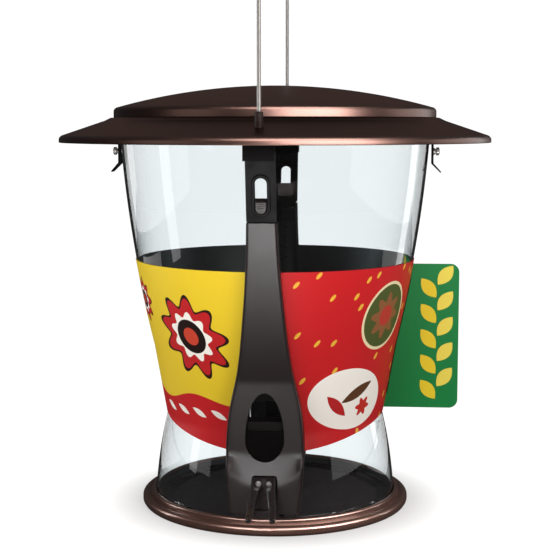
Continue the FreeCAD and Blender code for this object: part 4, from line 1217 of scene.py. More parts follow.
def join_mesh(thing: Object, mesh: Mesh) -> None:
    """Add a closed mesh to an object's own mesh.

    Args:
        thing: The object.
        mesh: The mesh to add, which is removed afterwards.
    """
    work = bmesh.new()
    work.from_mesh(thing.data)
    work.from_mesh(mesh)
    work.to_mesh(thing.data)
    work.free()
    bpy.data.meshes.remove(mesh)
    soften(thing.data)


@dataclass
class Strap:
    """Slotted steel arm from inside the column's top to the shelf that the bail is bolted to."""

    station: Station
    thickness: float = 2.0
    half: float = 9.5
    tongue_half: float = 7.9
    bottom: float = 190.0
    shelf: float = 249.0
    shelf_out: float = 134.0
    lip_low: float = 242.6
    lip_high: float = 252.2
    lip_sheet: float = 1.4
    bend: float = 2.6
    end_curve: float = 0.4
    frame_root: float = 0.2
    easing: float = 0.25
    slot_half: float = 3.7
    slot: Pair = (210.0, 232.0)
    frame_width: float = 2.2
    frame_height: float = 0.9
    hole_out: float = 128.0
    hole_radius: float = 1.3
    hole_drop: float = 5.0

    def outline(self, half: float, low: float, high: float, count: int = 12) -> np.ndarray:
        """Upright outline with round ends, measured up the leaning face from the slot's middle.

        Args:
            half: Half of its width.
            low: Height of its lower end.
            high: Height of its upper end.
            count: Points on each corner.

        Returns:
            Points (across, up the face).
        """
        slope = math.hypot(1.0, self.station.lean)
        reach = (high - low) / 2 * slope
        edge = half - ROUND_END
        return tile(half, -reach, reach, edge, edge, count)

    def sheet(self) -> Patch:
        """Leaning sheet bent out to a shelf with an upright edge: a closed side line across the width.

        Returns:
            The sheet.
        """
        top = self.shelf + self.thickness
        levels = [self.bottom, self.station.top, self.station.top + 1, self.shelf]
        outer = [(self.arm(level), level) for level in levels]
        inner = [(self.arm(level) - self.thickness, level) for level in (*levels[:3], top)]
        lip = self.shelf_out - self.lip_sheet
        line = rounded([
            (*outer[0], self.end_curve), (*outer[1], 0), (*outer[2], 0), (*outer[3], self.bend),
            (lip, self.shelf, 0.5), (lip, self.lip_low, CRISP), (self.shelf_out, self.lip_low, CRISP),
            (self.shelf_out, self.lip_high, CRISP), (lip, self.lip_high, CRISP), (lip, top, CRISP),
            (*inner[3], self.bend + self.thickness), (*inner[2], 0), (*inner[1], 0),
            (*inner[0], self.end_curve)])
        half = np.where(line[:, 1] > self.station.top + 0.5, self.half, self.tongue_half)
        across = np.array([-1.0, -0.97, -0.5, 0.0, 0.5, 0.97, 1.0])[:, None]
        grid = np.stack([across * half, -line[:, 0] + 0.0 * across, line[:, 1] + 0.0 * across], axis=2)
        return self.station.put(grid_patch(grid, wrap_columns=True, cap_rows=True))

    def arm(self, level: float) -> float:
        """Out distance of the strap's face at a height."""
        return float(self.station.arm_out(np.array(level))) - self.station.sheet

    def middle(self) -> np.ndarray:
        """Point on the strap's face at the slot's middle."""
        level = sum(self.slot) / 2
        return np.array([0.0, -self.arm(level), level])

    def build(self, finishes: Finishes) -> None:
        """Cut the slot and the bail's hole in the sheet, and raise a frame round the slot.

        Args:
            finishes: The shared materials.
        """
        station = self.station
        name = station.name("strap_arm")
        thing = make_object(name, make_mesh(name, [self.sheet()]), [finishes.dark_steel])
        depth = 3 * self.thickness
        slot = prism_patch(self.outline(self.slot_half, *self.slot), -depth, depth, 0.0, station.arm_axes())
        slot.points = slot.points + self.middle()
        bore = [(0.0, 0.0), (self.hole_radius, 0.0), (self.hole_radius, 2 * depth), (0.0, 2 * depth)]
        hole = lathe(np.array(bore), (0, -self.hole_out, self.shelf - self.hole_drop), UP)
        carve(thing, [station.put(slot), station.put(hole)])
        low, high = self.slot
        wide = self.frame_width
        rim = frame_patch(self.outline(self.slot_half + wide, low - wide, high + wide),
                          self.outline(self.slot_half, low, high), -self.frame_root, self.frame_height, CRISP,
                          station.arm_axes())
        rim.points = rim.points + self.middle()
        join_mesh(thing, make_mesh(f"{name}_frame", [station.put(rim)]))
        bevel_edges(thing, self.easing)
        seat(thing, "frame", "dark_steel", station.name("strap"))


@dataclass
class Adjuster:
    """Block that slides in the strap's slot, with a flange behind the strap."""

    station: Station
    half: float = 3.4
    low: float = 210.3
    length: float = 7.5
    proud: float = 2.5
    strap: float = 2.0
    clearance: float = 0.3
    flange_half: float = 5.4
    flange_depth: float = 4.6
    flange_drop: float = 1.6
    rib: Triple = (2.2, 0.35, 0.35)
    rib_shares: tuple[float, ...] = (0.45, 0.62, 0.79)
    top_curve: float = 0.6
    flange_curve: float = 0.8
    overlap: float = 0.5
    rib_root: float = 0.2
    bevels: Triple = (0.5, 0.4, 0.15)

    def build(self, finishes: Finishes) -> None:
        """Make the block, round at its lower end and ribbed for a thumbnail, and its flange.

        Args:
            finishes: The shared materials.
        """
        station = self.station
        slope = math.hypot(1.0, station.lean)
        foot = np.array([0.0, -(float(station.arm_out(np.array(self.low))) - station.sheet), self.low])
        tall = self.length * slope
        axes = station.arm_axes()
        block = tile(self.half, 0, tall, self.half - ROUND_END, self.top_curve, 10)
        back = -(self.strap + self.clearance)
        flange = tile(self.flange_half, -self.flange_drop, tall, self.flange_curve, self.flange_curve)
        block_bevel, flange_bevel, rib_bevel = self.bevels
        patches = [prism_patch(block, back - self.overlap, self.proud, block_bevel, axes),
                   prism_patch(flange, back - self.flange_depth, back, flange_bevel, axes)]
        half, thick, rise = self.rib
        rib = tile(half, -thick, thick, CRISP, CRISP)
        for share in self.rib_shares:
            ridge = prism_patch(rib, self.proud - self.rib_root, self.proud + rise, rib_bevel, axes)
            ridge.points = ridge.points + axes[1] * tall * share
            patches.append(ridge)
        for patch in patches:
            patch.points = patch.points + foot
            station.put(patch)
        dress(station.name("tension_block"), patches, [finishes.block], station.name("adjuster"),
              "black_plastic", station.name("tension_adjuster"))


@dataclass
class Gate:
    """Sliding plate with a window, a tongue up to the spring and a hooked shelf."""

    station: Station
    back: float = 86.5
    thickness: float = 1.2
    half: float = 14.0
    bottom: float = 33.0
    top: float = 96.0
    tongue_half: float = 5.0
    tongue_top: float = 112.0
    shelf_depth: float = 2.5
    window_half: float = 11.0
    window: Pair = (68.0, 88.5)
    overlap: float = 3.0
    corners: Pair = (1.5, 3.0)
    window_corner: float = 2.0
    bevel: float = 0.2
    inset: float = 0.02
    shelf_inset: float = 0.3

    def build(self, finishes: Finishes) -> None:
        """Make the plate, the tongue and the shelf as one piece of dark steel.

        Args:
            finishes: The shared materials.
        """
        front = self.back + self.thickness
        wide, step = self.tongue_half, self.tongue_top + self.thickness
        plate = tile(self.half, self.bottom, self.top, *self.corners)
        hole = tile(self.window_half, *self.window, self.window_corner, self.window_corner)
        tongue = tile(wide, self.top - self.overlap, step, CRISP, CRISP)
        shelf = tile(wide, self.tongue_top, step, CRISP, CRISP)
        patches = [
            frame_patch(plate, hole, self.back, front, self.bevel, OUTWARDS),
            prism_patch(tongue, self.back + self.inset, front - self.inset, self.bevel, OUTWARDS),
            prism_patch(shelf, front - self.shelf_depth, front - self.shelf_inset, self.bevel, OUTWARDS)]
        body = self.station.name("gate")
        dress(self.station.name("gate_plate"), [self.station.put(patch) for patch in patches],
              [finishes.dark_steel], body, "dark_steel", body)


@dataclass
class Perch:
    """Two drooping prongs on a stem that is riveted to the gate by two bright pins."""

    station: Station
    half: float = 7.5
    bottom: float = 33.0
    top: float = 39.5
    root: float = 87.7
    stem: float = 97.0
    tip: float = 125.0
    tip_low: float = 18.0
    tip_half: float = 2.0
    tip_tall: float = 3.6
    crotch: float = 1.4
    pin_x: float = 3.5
    pin_shank: float = 1.4
    pin_head: float = 1.9
    pin_proud: float = 0.9
    pin_seat: float = 2.3
    pin_grip: float = 10.5
    bore_depth: float = 14.0
    inset: float = 2.0
    corner: float = 1.2
    bevel: float = 0.4

    def prong(self, sign: float) -> Patch:
        """One prong: a rounded section that narrows and droops along its way out.

        Args:
            sign: -1 for the left prong and 1 for the right one.

        Returns:
            The prong.
        """
        share = np.array([0.0, 0.08, 0.2, 0.35, 0.5, 0.65, 0.8, 0.9, 0.96, 1.0])
        close = np.array([1, 1, 1, 1, 1, 1, 1, 1, 0.86, 0.5])
        smooth = share * share * (3 - 2 * share)

        def drawn(root: float, tip: float) -> np.ndarray:
            """Value that eases from the root to the tip."""
            return root + (tip - root) * smooth

        wide = drawn((self.half - self.crotch) / 2, self.tip_half) * close
        tall = drawn((self.top - self.bottom) / 2, self.tip_tall / 2) * close
        middle = sign * drawn((self.half + self.crotch) / 2, self.half)
        level = drawn((self.top + self.bottom) / 2, self.tip_low + self.tip_tall / 2)
        out = self.stem - self.inset + (self.tip - self.stem + self.inset) * share
        ring = tile(1.0, -1.0, 1.0, 0.55, 0.55, 5)
        grid = np.stack([middle[:, None] + wide[:, None] * ring[:, 0], -out[:, None] + 0.0 * ring[:, 0],
                         level[:, None] + tall[:, None] * ring[:, 1]], axis=2)
        return self.station.put(grid_patch(grid, wrap_columns=True, cap_rows=True))

    def at_pins(self, profile: np.ndarray, out: float) -> list[Patch]:
        """Turned patches on the axes of both pins, from an out distance outwards."""
        level = (self.top + self.bottom) / 2
        return [self.station.put(lathe(profile, (sign * self.pin_x, -out, level), (0, -1, 0)))
                for sign in (-1.0, 1.0)]

    def build(self, finishes: Finishes) -> None:
        """Make the stem with its prongs, and the two pins.

        Args:
            finishes: The shared materials.
        """
        station = self.station
        block = tile(self.half, self.bottom, self.top, self.corner, self.corner)
        stem = station.put(prism_patch(block, self.root, self.stem, self.bevel, OUTWARDS))
        name, body = station.name("perch_fork"), station.name("gate")
        mesh = make_mesh(name, [stem, self.prong(-1.0), self.prong(1.0)])
        thing = make_object(name, mesh, [finishes.perch])
        bore = np.array([(0.0, 0.0), (self.pin_seat, 0.0), (self.pin_seat, self.bore_depth),
                         (0.0, self.bore_depth)])
        carve(thing, self.at_pins(bore, self.stem), overlapping=True)
        seat(thing, body, "dark_steel", station.name("perch"))
        end = self.pin_grip + self.pin_proud
        head = rounded([(0, 0, 0), (self.pin_shank, 0, 0), (self.pin_shank, self.pin_grip, 0),
                        (self.pin_head, self.pin_grip, 0), (self.pin_head, end, 0.6), (0, end, 0)], False)
        dress(station.name("perch_rivets"), self.at_pins(head, self.stem - self.pin_grip),
              [finishes.bright_steel], body, "bright_steel", station.name("perch_pins"))


@dataclass
class Spring:
    """Extension coil from the gate's shelf up to the adjuster, wound in two halves."""

    station: Station
    coil: float = 1.9
    wire: float = 0.3
    turns: int = 24
    points_per_turn: int = 20
    low: Pair = (88.4, 115.1)
    high: Pair = (106.4, 206.1)

    def build(self, finishes: Finishes) -> None:
        """Wind both halves about one axis, the lower from the gate's shelf to the middle and the upper on to
        the adjuster.

        Args:
            finishes: The shared materials.
        """
        station = self.station
        start, end = (np.array([0.0, -out, level]) for out, level in (self.low, self.high))
        along = (end - start) / np.linalg.norm(end - start)
        across = np.array([1.0, 0.0, 0.0])
        other = np.cross(along, across)
        share = np.linspace(0.0, 1.0, self.turns * self.points_per_turn + 1)[:, None]
        turn = 2 * math.pi * self.turns * share
        path = station.place(start + (end - start) * share
                             + self.coil * (np.cos(turn) * across + np.sin(turn) * other))
        middle = len(path) // 2
        ends = [tuple(station.place(point) * MM) for point in (start, (start + end) / 2, end)]
        halves = (("lower", path[:middle + 1], station.name("gate"), "frame", ends[0], ends[1]),
                  ("upper", path[middle:], "frame", station.name("adjuster"), ends[1], ends[2]))
        for label, points, first, second, begin, finish in halves:
            name = station.name(f"spring_{label}")
            coil = grid_patch(swept(points, circle(self.wire, 8)), False, True, True)
            thing = make_object(name, make_mesh(name, [coil]), [finishes.dark_steel])
            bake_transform(thing)
            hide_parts(station.name("spring"))
            LOG.info("%s stretches between %s and %s", name, first, second)


@dataclass
class Clip:
    """Hinged strip under the brim at one side, with a knob and a flared tab."""

    hand: Hand
    pin_x: float = 110.0
    pin_z: float = 262.0
    pin_radius: float = 1.0
    eye: float = 1.9
    face: float = 108.1
    sheet: float = 1.2
    half: float = 5.8
    bend: float = 238.0
    tab_x: float = 114.6
    tab_z: float = 231.0
    knob_z: float = 246.0
    knob_radius: float = 2.8
    knob_length: float = 4.2
    play: float = 0.15
    taper: Pair = (1.6, 2.0)
    bends: Pair = (1.6, 0.9)
    bend_drop: float = 0.6
    easing: float = 0.2
    # The knob's foot, waist and top as shares of its radius, with the heights where they end
    knob_foot: Pair = (0.85, 0.9)
    knob_waist: Triple = (0.62, 1.2, 1.7)
    knob_shoulder: float = 2.1
    knob_top: Pair = (0.7, 0.5)
    knob_curve: float = 0.4

    def strip(self) -> Patch:
        """Side line of the strip and its tab, carried across the width; the tab's end has round corners.

        Returns:
            The strip.
        """
        outer = self.face + self.sheet
        inner_bend, outer_bend = self.bends
        line = rounded([
            (self.face, self.pin_z, self.easing), (self.face, self.bend - self.bend_drop, inner_bend),
            (self.tab_x, self.tab_z, CRISP), (self.tab_x, self.tab_z + self.sheet, CRISP),
            (outer, self.bend, outer_bend), (outer, self.pin_z, self.easing)])
        across = np.array([-1.0, -0.95, -0.5, 0.0, 0.5, 0.95, 1.0])[:, None]
        narrowing, length = self.taper
        share = np.clip((line[:, 0] - self.tab_x + length) / length, 0.0, 1.0)
        half = self.half - narrowing * share ** 2
        grid = np.stack([line[:, 0] + 0.0 * across, across * half, line[:, 1] + 0.0 * across], axis=2)
        return grid_patch(grid, wrap_columns=True, cap_rows=True)

    def build(self, finishes: Finishes) -> None:
        """Make the strip with its eye, and the knob with a waist and a chamfered head.

        Args:
            finishes: The shared materials.
        """
        bore = self.pin_radius + self.play
        ring = np.array([(bore, -self.half), (self.eye, -self.half), (self.eye, self.half), (bore, self.half),
                         (bore, -self.half)])
        eye = lathe(ring, (self.pin_x, 0, self.pin_z), (0, 1, 0), 28)
        size, tall = self.knob_radius, self.knob_length
        foot, foot_top = self.knob_foot
        waist, waist_low, waist_top = self.knob_waist
        crown, drop = self.knob_top
        profile = rounded([
            (0, 0, 0), (size * foot, 0, 0), (size * foot, foot_top, self.easing),
            (size * waist, waist_low, CRISP), (size * waist, waist_top, CRISP),
            (size, self.knob_shoulder, CRISP), (size, tall - drop, self.knob_curve),
            (size * crown, tall, CRISP), (0, tall, 0)], False)
        knob = lathe(profile, (self.face + self.sheet, 0, self.knob_z), (1, 0, 0), 32)
        strip = self.strip()
        for patch in (strip, eye, knob):
            patch.points = patch.points * (self.hand.sign, 1.0, 1.0)
        body = f"{self.hand.value}_clip"
        name = f"{body}_strip"
        thing = make_object(name, make_mesh(name, [strip, eye]), [finishes.dark_steel])
        bevel_edges(thing, self.easing)
        seat(thing, body, "dark_steel", body)
        dress(f"{body}_thumb_knob", [knob], [finishes.bright_steel], body, "bright_steel", f"{body}_knob")


# Printed cards

class Ink:
    """A printed card's surface while it is drawn: shapes are painted one over the other on flat coordinates.

    One unit of the flat coordinates is 100 mm, so a place of (0.3, 0.5) lies 30 mm along and 50 mm up.
    """

    def __init__(self, name: str, ground: str) -> None:
        """Start a tree with its ground colour.

        Args:
            name: Name of the finish.
            ground: Hex code of the ground.
        """
        self.material, self.tree = new_tree(name)
        self.place = add_node(self.tree, "ShaderNodeUVMap", {"uv_map": "print"}).outputs[0]
        self.tone: Any = linear(ground)

    def local(self, centre: Sequence[float], size: Sequence[float],
              turn: float = 0.0) -> NodeSocket:
        """Coordinates in which a shape of this centre, half size and turn in degrees fills one unit."""
        return add_node(self.tree, "ShaderNodeMapping", {"vector_type": "TEXTURE"}, {
            "Vector": self.place, "Location": (*centre, 0.0), "Rotation": (0.0, 0.0, math.radians(turn)),
            "Scale": (*size, 1.0)}).outputs[0]

    def oval(self, centre: Sequence[float], size: Sequence[float], turn: float = 0.0) -> NodeSocket:
        """Mask of an oval: the length of its local place is under one."""
        away = add_node(self.tree, "ShaderNodeVectorMath", {"operation": "LENGTH"}, {
            0: self.local(centre, size, turn)})
        return add_node(self.tree, "ShaderNodeMath", {"operation": "LESS_THAN"}, {
            0: away.outputs["Value"], 1: 1.0}).outputs[0]

    def leaf(self, centre: Sequence[float], size: Sequence[float], turn: float = 0.0) -> NodeSocket:
        """Mask of a leaf with two points: |x| + y² is under one.

        Args:
            centre: Its place on the card.
            size: Half of its width and height.
            turn: Its turn in degrees.

        Returns:
            A mask, one inside.
        """
        place = add_node(self.tree, "ShaderNodeSeparateXYZ", None, {
            0: self.local(centre, size, turn)}).outputs
        width = add_node(self.tree, "ShaderNodeMath", {"operation": "ABSOLUTE"}, {0: place["X"]})
        reach = add_node(self.tree, "ShaderNodeMath", {"operation": "MULTIPLY_ADD"}, {
            0: place["Y"], 1: place["Y"], 2: width.outputs[0]})
        return add_node(self.tree, "ShaderNodeMath", {"operation": "LESS_THAN"}, {
            0: reach.outputs[0], 1: 1.0}).outputs[0]

    def rosette(self, centre: Sequence[float], radius: float, petals: int, depth: float) -> NodeSocket:
        """Mask of a flower: the length is under 1 - depth + depth cos(petals x angle).

        Args:
            centre: Its place on the card.
            radius: Reach of a petal.
            petals: How many petals.
            depth: Depth of the waves between them.

        Returns:
            A mask, one inside.
        """
        near = self.local(centre, (radius, radius))
        place = add_node(self.tree, "ShaderNodeSeparateXYZ", None, {0: near}).outputs
        angle = add_node(self.tree, "ShaderNodeMath", {"operation": "ARCTAN2"}, {
            0: place["Y"], 1: place["X"]})
        lobes = add_node(self.tree, "ShaderNodeMath", {"operation": "MULTIPLY"}, {
            0: angle.outputs[0], 1: float(petals)})
        wave = add_node(self.tree, "ShaderNodeMath", {"operation": "COSINE"}, {0: lobes.outputs[0]})
        edge = add_node(self.tree, "ShaderNodeMath", {"operation": "MULTIPLY_ADD"}, {
            0: wave.outputs[0], 1: depth, 2: 1.0 - depth})
        away = add_node(self.tree, "ShaderNodeVectorMath", {"operation": "LENGTH"}, {0: near})
        return add_node(self.tree, "ShaderNodeMath", {"operation": "LESS_THAN"}, {
            0: away.outputs["Value"], 1: edge.outputs[0]}).outputs[0]

    def swell(self, level: float, height: float, length: float, phase: float = 0.0) -> NodeSocket:
        """Mask of all that lies above a wavy line: y is over level + height sin(2 pi x / length + phase).

        Args:
            level: Height of the line's middle.
            height: Height of a wave.
            length: Length of a wave.
            phase: Start of the wave in radians.

        Returns:
            A mask, one inside.
        """
        place = add_node(self.tree, "ShaderNodeSeparateXYZ", None, {0: self.place}).outputs
        turn = add_node(self.tree, "ShaderNodeMath", {"operation": "MULTIPLY_ADD"}, {
            0: place["X"], 1: 2 * math.pi / length, 2: phase})
        wave = add_node(self.tree, "ShaderNodeMath", {"operation": "SINE"}, {0: turn.outputs[0]})
        line = add_node(self.tree, "ShaderNodeMath", {"operation": "MULTIPLY_ADD"}, {
            0: wave.outputs[0], 1: height, 2: level})
        return add_node(self.tree, "ShaderNodeMath", {"operation": "LESS_THAN"}, {
            0: line.outputs[0], 1: place["Y"]}).outputs[0]

    def grains(self, size: float, share: float, turn: float) -> NodeSocket:
        """Mask of scattered long grains: the nearest cell's point is within a share of the cell's size."""
        spot = add_node(self.tree, "ShaderNodeTexVoronoi", {"voronoi_dimensions": "2D"}, {
            "Vector": self.local((0.0, 0.0), (size, size * 1.9), turn), "Scale": 1.0, "Randomness": 0.8})
        return add_node(self.tree, "ShaderNodeMath", {"operation": "LESS_THAN"}, {
            0: spot.outputs["Distance"], 1: share}).outputs[0]

    def paint(self, mask: NodeSocket, code: str) -> None:
        """Lay a colour over the print where a mask is one."""
        self.tone = add_node(self.tree, "ShaderNodeMix", {"data_type": "RGBA"}, {
            MIX_SHARE: mask, MIX_FIRST: self.tone, MIX_SECOND: linear(code)}).outputs[MIX_RESULT]

    def finish(self, roughness: float = 0.5, drift: float = 0.06) -> Material:
        """Close the tree with varnished paper: a soft drift of gloss and a fine fibre.

        Args:
            roughness: The paper's middle roughness.
            drift: How far it drifts either way.

        Returns:
            The material.
        """
        place = add_node(self.tree, "ShaderNodeTexCoord").outputs["Object"]
        cloud = add_node(self.tree, "ShaderNodeTexNoise", None, {
            "Vector": place, "Scale": per_metre(35.0), "Detail": 2.0})
        gloss = add_node(self.tree, "ShaderNodeMapRange", None, {
            "Value": cloud.outputs["Fac"], "To Min": roughness - drift, "To Max": roughness + drift})
        fibre = add_node(self.tree, "ShaderNodeTexNoise", None, {
            "Vector": place, "Scale": per_metre(0.8), "Detail": 2.0})
        bump = add_node(self.tree, "ShaderNodeBump", None, {
            "Strength": 0.5, "Distance": 0.01 * MM, "Height": fibre.outputs["Fac"]})
        shader = add_node(self.tree, "ShaderNodeBsdfPrincipled", None, {
            "Base Color": self.tone, "Roughness": gloss.outputs["Result"], "Specular IOR Level": 0.25,
            "Normal": bump.outputs["Normal"]})
        add_node(self.tree, "ShaderNodeOutputMaterial", None, {"Surface": shader.outputs[0]})
        return self.material


def left_print() -> Material:
    """Left card: a sunny field over a red border with pale leaves, a large flower and a small one.

    Returns:
        The card's material.
    """
    ink = Ink("varnished_card_left", "#C4161C")
    ink.paint(ink.swell(0.34, 0.03, 0.62, 0.4), "#E6C526")
    for side in (-1.0, 1.0):
        for step in range(5):
            ink.paint(ink.leaf((side * (0.42 + 0.16 * step), 0.24), (0.022, 0.06), side * 62.0), "#F4EFE6")
        for centre, size in (((side * 0.86, 0.78), 1.0), ((side * 0.33, 0.98), 0.55)):
            ink.paint(ink.rosette(centre, 0.29 * size, 9, 0.15), "#2A1512")
            ink.paint(ink.rosette(centre, 0.265 * size, 9, 0.15), "#BE1A1E")
            ink.paint(ink.rosette(centre, 0.17 * size, 9, 0.12), "#F6F1E8")
            ink.paint(ink.oval(centre, (0.115 * size, 0.115 * size)), "#241311")
            ink.paint(ink.oval(centre, (0.06 * size, 0.06 * size)), "#C9402A")
    return ink.finish()


def right_print() -> Material:
    """Right card: a red ground with a pale oval panel of leaves, a round green picture and a few grains.

    Returns:
        The card's material.
    """
    ink = Ink("varnished_card_right", "#C4161C")
    ink.paint(ink.grains(0.15, 0.09, -30.0), "#E8B23A")
    for side in (-1.0, 1.0):
        ink.paint(ink.oval((side * 0.66, 0.34), (0.33, 0.21), side * 12.0), "#F7F4EE")
        ink.paint(ink.leaf((side * 0.60, 0.38), (0.04, 0.14), side * 64.0), "#5E3B22")
        ink.paint(ink.leaf((side * 0.76, 0.30), (0.035, 0.12), side * -50.0), "#B81D22")
        ink.paint(ink.rosette((side * 0.52, 0.27), 0.07, 6, 0.2), "#C42A20")
        middle = (side * 0.50, 0.90)
        ink.paint(ink.oval(middle, (0.235, 0.235)), "#E9D9B0")
        ink.paint(ink.oval(middle, (0.215, 0.215)), "#4E5A2A")
        ink.paint(ink.rosette(middle, 0.16, 8, 0.18), "#8C5A34")
        ink.paint(ink.oval(middle, (0.07, 0.07)), "#B8362A")
    return ink.finish()


def tag_print() -> Material:
    """Green card: yellow leaves in two staggered rows.

    Returns:
        The card's material.
    """
    ink = Ink("varnished_card_tag", "#168744")
    for row in range(5):
        level = 0.13 + 0.18 * row
        ink.paint(ink.leaf((0.11, level), (0.045, 0.085), 38.0), "#EFD62E")
        ink.paint(ink.leaf((0.225, level + 0.09), (0.045, 0.085), -38.0), "#F3E25A")
    return ink.finish()


@dataclass
class Label:
    """Half of the printed wrap, from behind one column round one hand to the other column."""

    hand: Hand
    column: Column
    gap: float = 0.15
    thickness: float = 0.4
    top: float = 172.0
    dip: float = 51.0
    curve: float = 210.0
    margin: float = 1.5
    wall_slope: float = 1.027

    def surface(self) -> tuple[np.ndarray, np.ndarray]:
        """Outer surface as rows by columns, with flat coordinates.

        The lower edge is an arc in front view and the ends follow the columns' outline, so each depends on
        the other; a few rounds of putting one into the other settle both.

        Returns:
            Points as rows by columns, and their flat coordinates.
        """
        wall = self.column.station.wall
        rise = np.linspace(0.0, 1.0, 49)[:, None]
        along = np.linspace(-1.0, 1.0, 121)[None, :]
        height = self.dip + (self.top - self.dip) * rise + 0.0 * along
        for _ in range(12):
            radius = wall.radius_at(height) + self.gap + self.thickness
            reach = np.arccos((self.column.half(height) - self.margin) / radius)
            angle = along * reach
            across = radius * np.cos(angle)
            low = self.dip + self.curve - np.sqrt(self.curve ** 2 - across ** 2)
            height = low + (self.top - low) * rise
        base = 0.0 if self.hand is Hand.RIGHT else math.pi
        grid = np.stack([radius * np.cos(base + angle), radius * np.sin(base + angle), height], axis=2)
        flat = np.stack([angle * radius, (height - self.dip) * self.wall_slope], axis=2) / FLAT_UNIT
        return grid, flat

    def build(self, finishes: Finishes) -> None:
        """Print the outside and leave the inside black.

        Args:
            finishes: The shared materials.
        """
        grid, flat = self.surface()
        name = f"{self.hand.value}_card_wrap"
        mesh = make_mesh(name, [grid_patch(grid, flat=flat)], recalculate=False)
        face = finishes.left_card if self.hand is Hand.LEFT else finishes.right_card
        thing = make_object(name, mesh, [face, finishes.black])
        thicken(thing, self.thickness)
        seat(thing, "frame", "label_card", f"{self.hand.value}_label")


@dataclass
class Tag:
    """Green card that stands out from the right label, held by a flap."""

    wall: HopperWall
    plane: float = 2.0
    thickness: float = 0.6
    gap: float = 0.75
    out: float = 128.6
    bottom: float = 66.0
    top: float = 168.0
    corner: float = 6.0
    flap: float = 11.0
    margin: float = 10.0
    print_width: float = 32.0

    def build(self, finishes: Finishes) -> None:
        """Cut the card along the hopper's wall and lay its flap on the label.

        Args:
            finishes: The shared materials.
        """
        end = self.plane + self.thickness
        levels = np.linspace(self.top, self.bottom, 41)
        hidden = np.sqrt((self.wall.radius_at(levels) + self.gap) ** 2 - end ** 2)
        edge = rounded([(hidden[-1], self.bottom, 0), (self.out, self.bottom, self.corner),
                        (self.out, self.top, self.corner), (hidden[0], self.top, 0)], closed=False, count=10)
        outline = np.concatenate([edge, np.column_stack([hidden, levels])[1:-1]])
        card = prism_patch(outline, -end, -self.plane, 0.0, OUTWARDS)
        card.flat = (card.points[:, [0, 2]] - (self.out - self.print_width, self.bottom)) / FLAT_UNIT
        rise = np.linspace(self.bottom + self.margin, self.top - self.margin, 40)[:, None]
        reach = np.linspace(self.plane, self.plane + self.flap, 9)[None, :]
        rows = []
        for lift_out in (self.gap + self.thickness, self.gap):
            radius = self.wall.radius_at(rise) + lift_out
            out = np.sqrt(radius ** 2 - reach ** 2)
            rows.append(np.stack([out, reach + 0.0 * rise, rise + 0.0 * reach], axis=2))
        loop = np.concatenate([rows[0], rows[1][:, ::-1]], axis=1)
        flat = np.zeros((*loop.shape[:2], 2)) - 1.0
        flap = grid_patch(loop, wrap_columns=True, cap_rows=True, flat=flat)
        dress("hang_card", [card, flap], [finishes.tag], "frame", "tag_card", "side_tag")


@dataclass
class Screws:
    """Pan-head screws: four through the hopper's foot and two through each column's foot."""

    column_x: float = 11.0
    column_z: float = 12.9
    column_seat: float = 85.87
    column_head: Pair = (1.9, 1.2)
    column_shank: Pair = (1.2, 4.6)
    hopper_circle: float = 77.5
    hopper_seat: float = 5.0
    hopper_head: Pair = (3.0, 1.8)
    hopper_shank: Pair = (1.5, 4.2)

    @staticmethod
    def profile(head: Pair, shank: Pair) -> np.ndarray:
        """Half section of a screw whose head sits at zero: shank, and a domed head with a driver's dip."""
        return rounded([(0, -shank[1], 0), (shank[0], -shank[1], CRISP), (shank[0], 0, 0), (head[0], 0, 0),
                        (head[0], head[1] * 0.75, head[1] * 0.3), (head[0] * 0.35, head[1], 0),
                        (head[0] * 0.2, head[1] * 0.5, 0), (0, head[1] * 0.5, 0)], closed=False)

    def build(self, finishes: Finishes) -> None:
        """Make both sets of screws.

        Args:
            finishes: The shared materials.
        """
        profile = self.profile(self.column_head, self.column_shank)
        screws = [lathe(profile, (x, -side.sign * self.column_seat, self.column_z), (0, -side.sign, 0))
                  for side in Side for x in (-self.column_x, self.column_x)]
        dress("column_pan_screws", screws, [finishes.dark_steel], "frame", "dark_steel", "column_screws")
        profile = self.profile(self.hopper_head, self.hopper_shank)
        turns = math.pi / 4 + math.pi / 2 * np.arange(4)
        places = self.hopper_circle * np.column_stack([np.cos(turns), np.sin(turns)])
        screws = [lathe(profile, (*place, self.hopper_seat), UP) for place in places]
        dress("hopper_pan_screws", screws, [finishes.dark_steel], "frame", "dark_steel", "hopper_screws")


def dress_nodes(finishes: Finishes) -> None:
    """Give the CAD nodes that stay as they are their finishes.

    Args:
        finishes: The shared materials.
    """
    kept = {
        finishes.black: ("front_port_frame", "rear_port_frame", "front_gate_guides", "rear_gate_guides"),
        finishes.dark_steel: ("clip_brackets",),
        finishes.bright_steel: ("clip_pins",),
    }
    for finish, names in kept.items():
        for name in names:
            mesh = frame["nodes"][name].data
            mesh.materials.clear()
            mesh.materials.append(finish)


# Studio

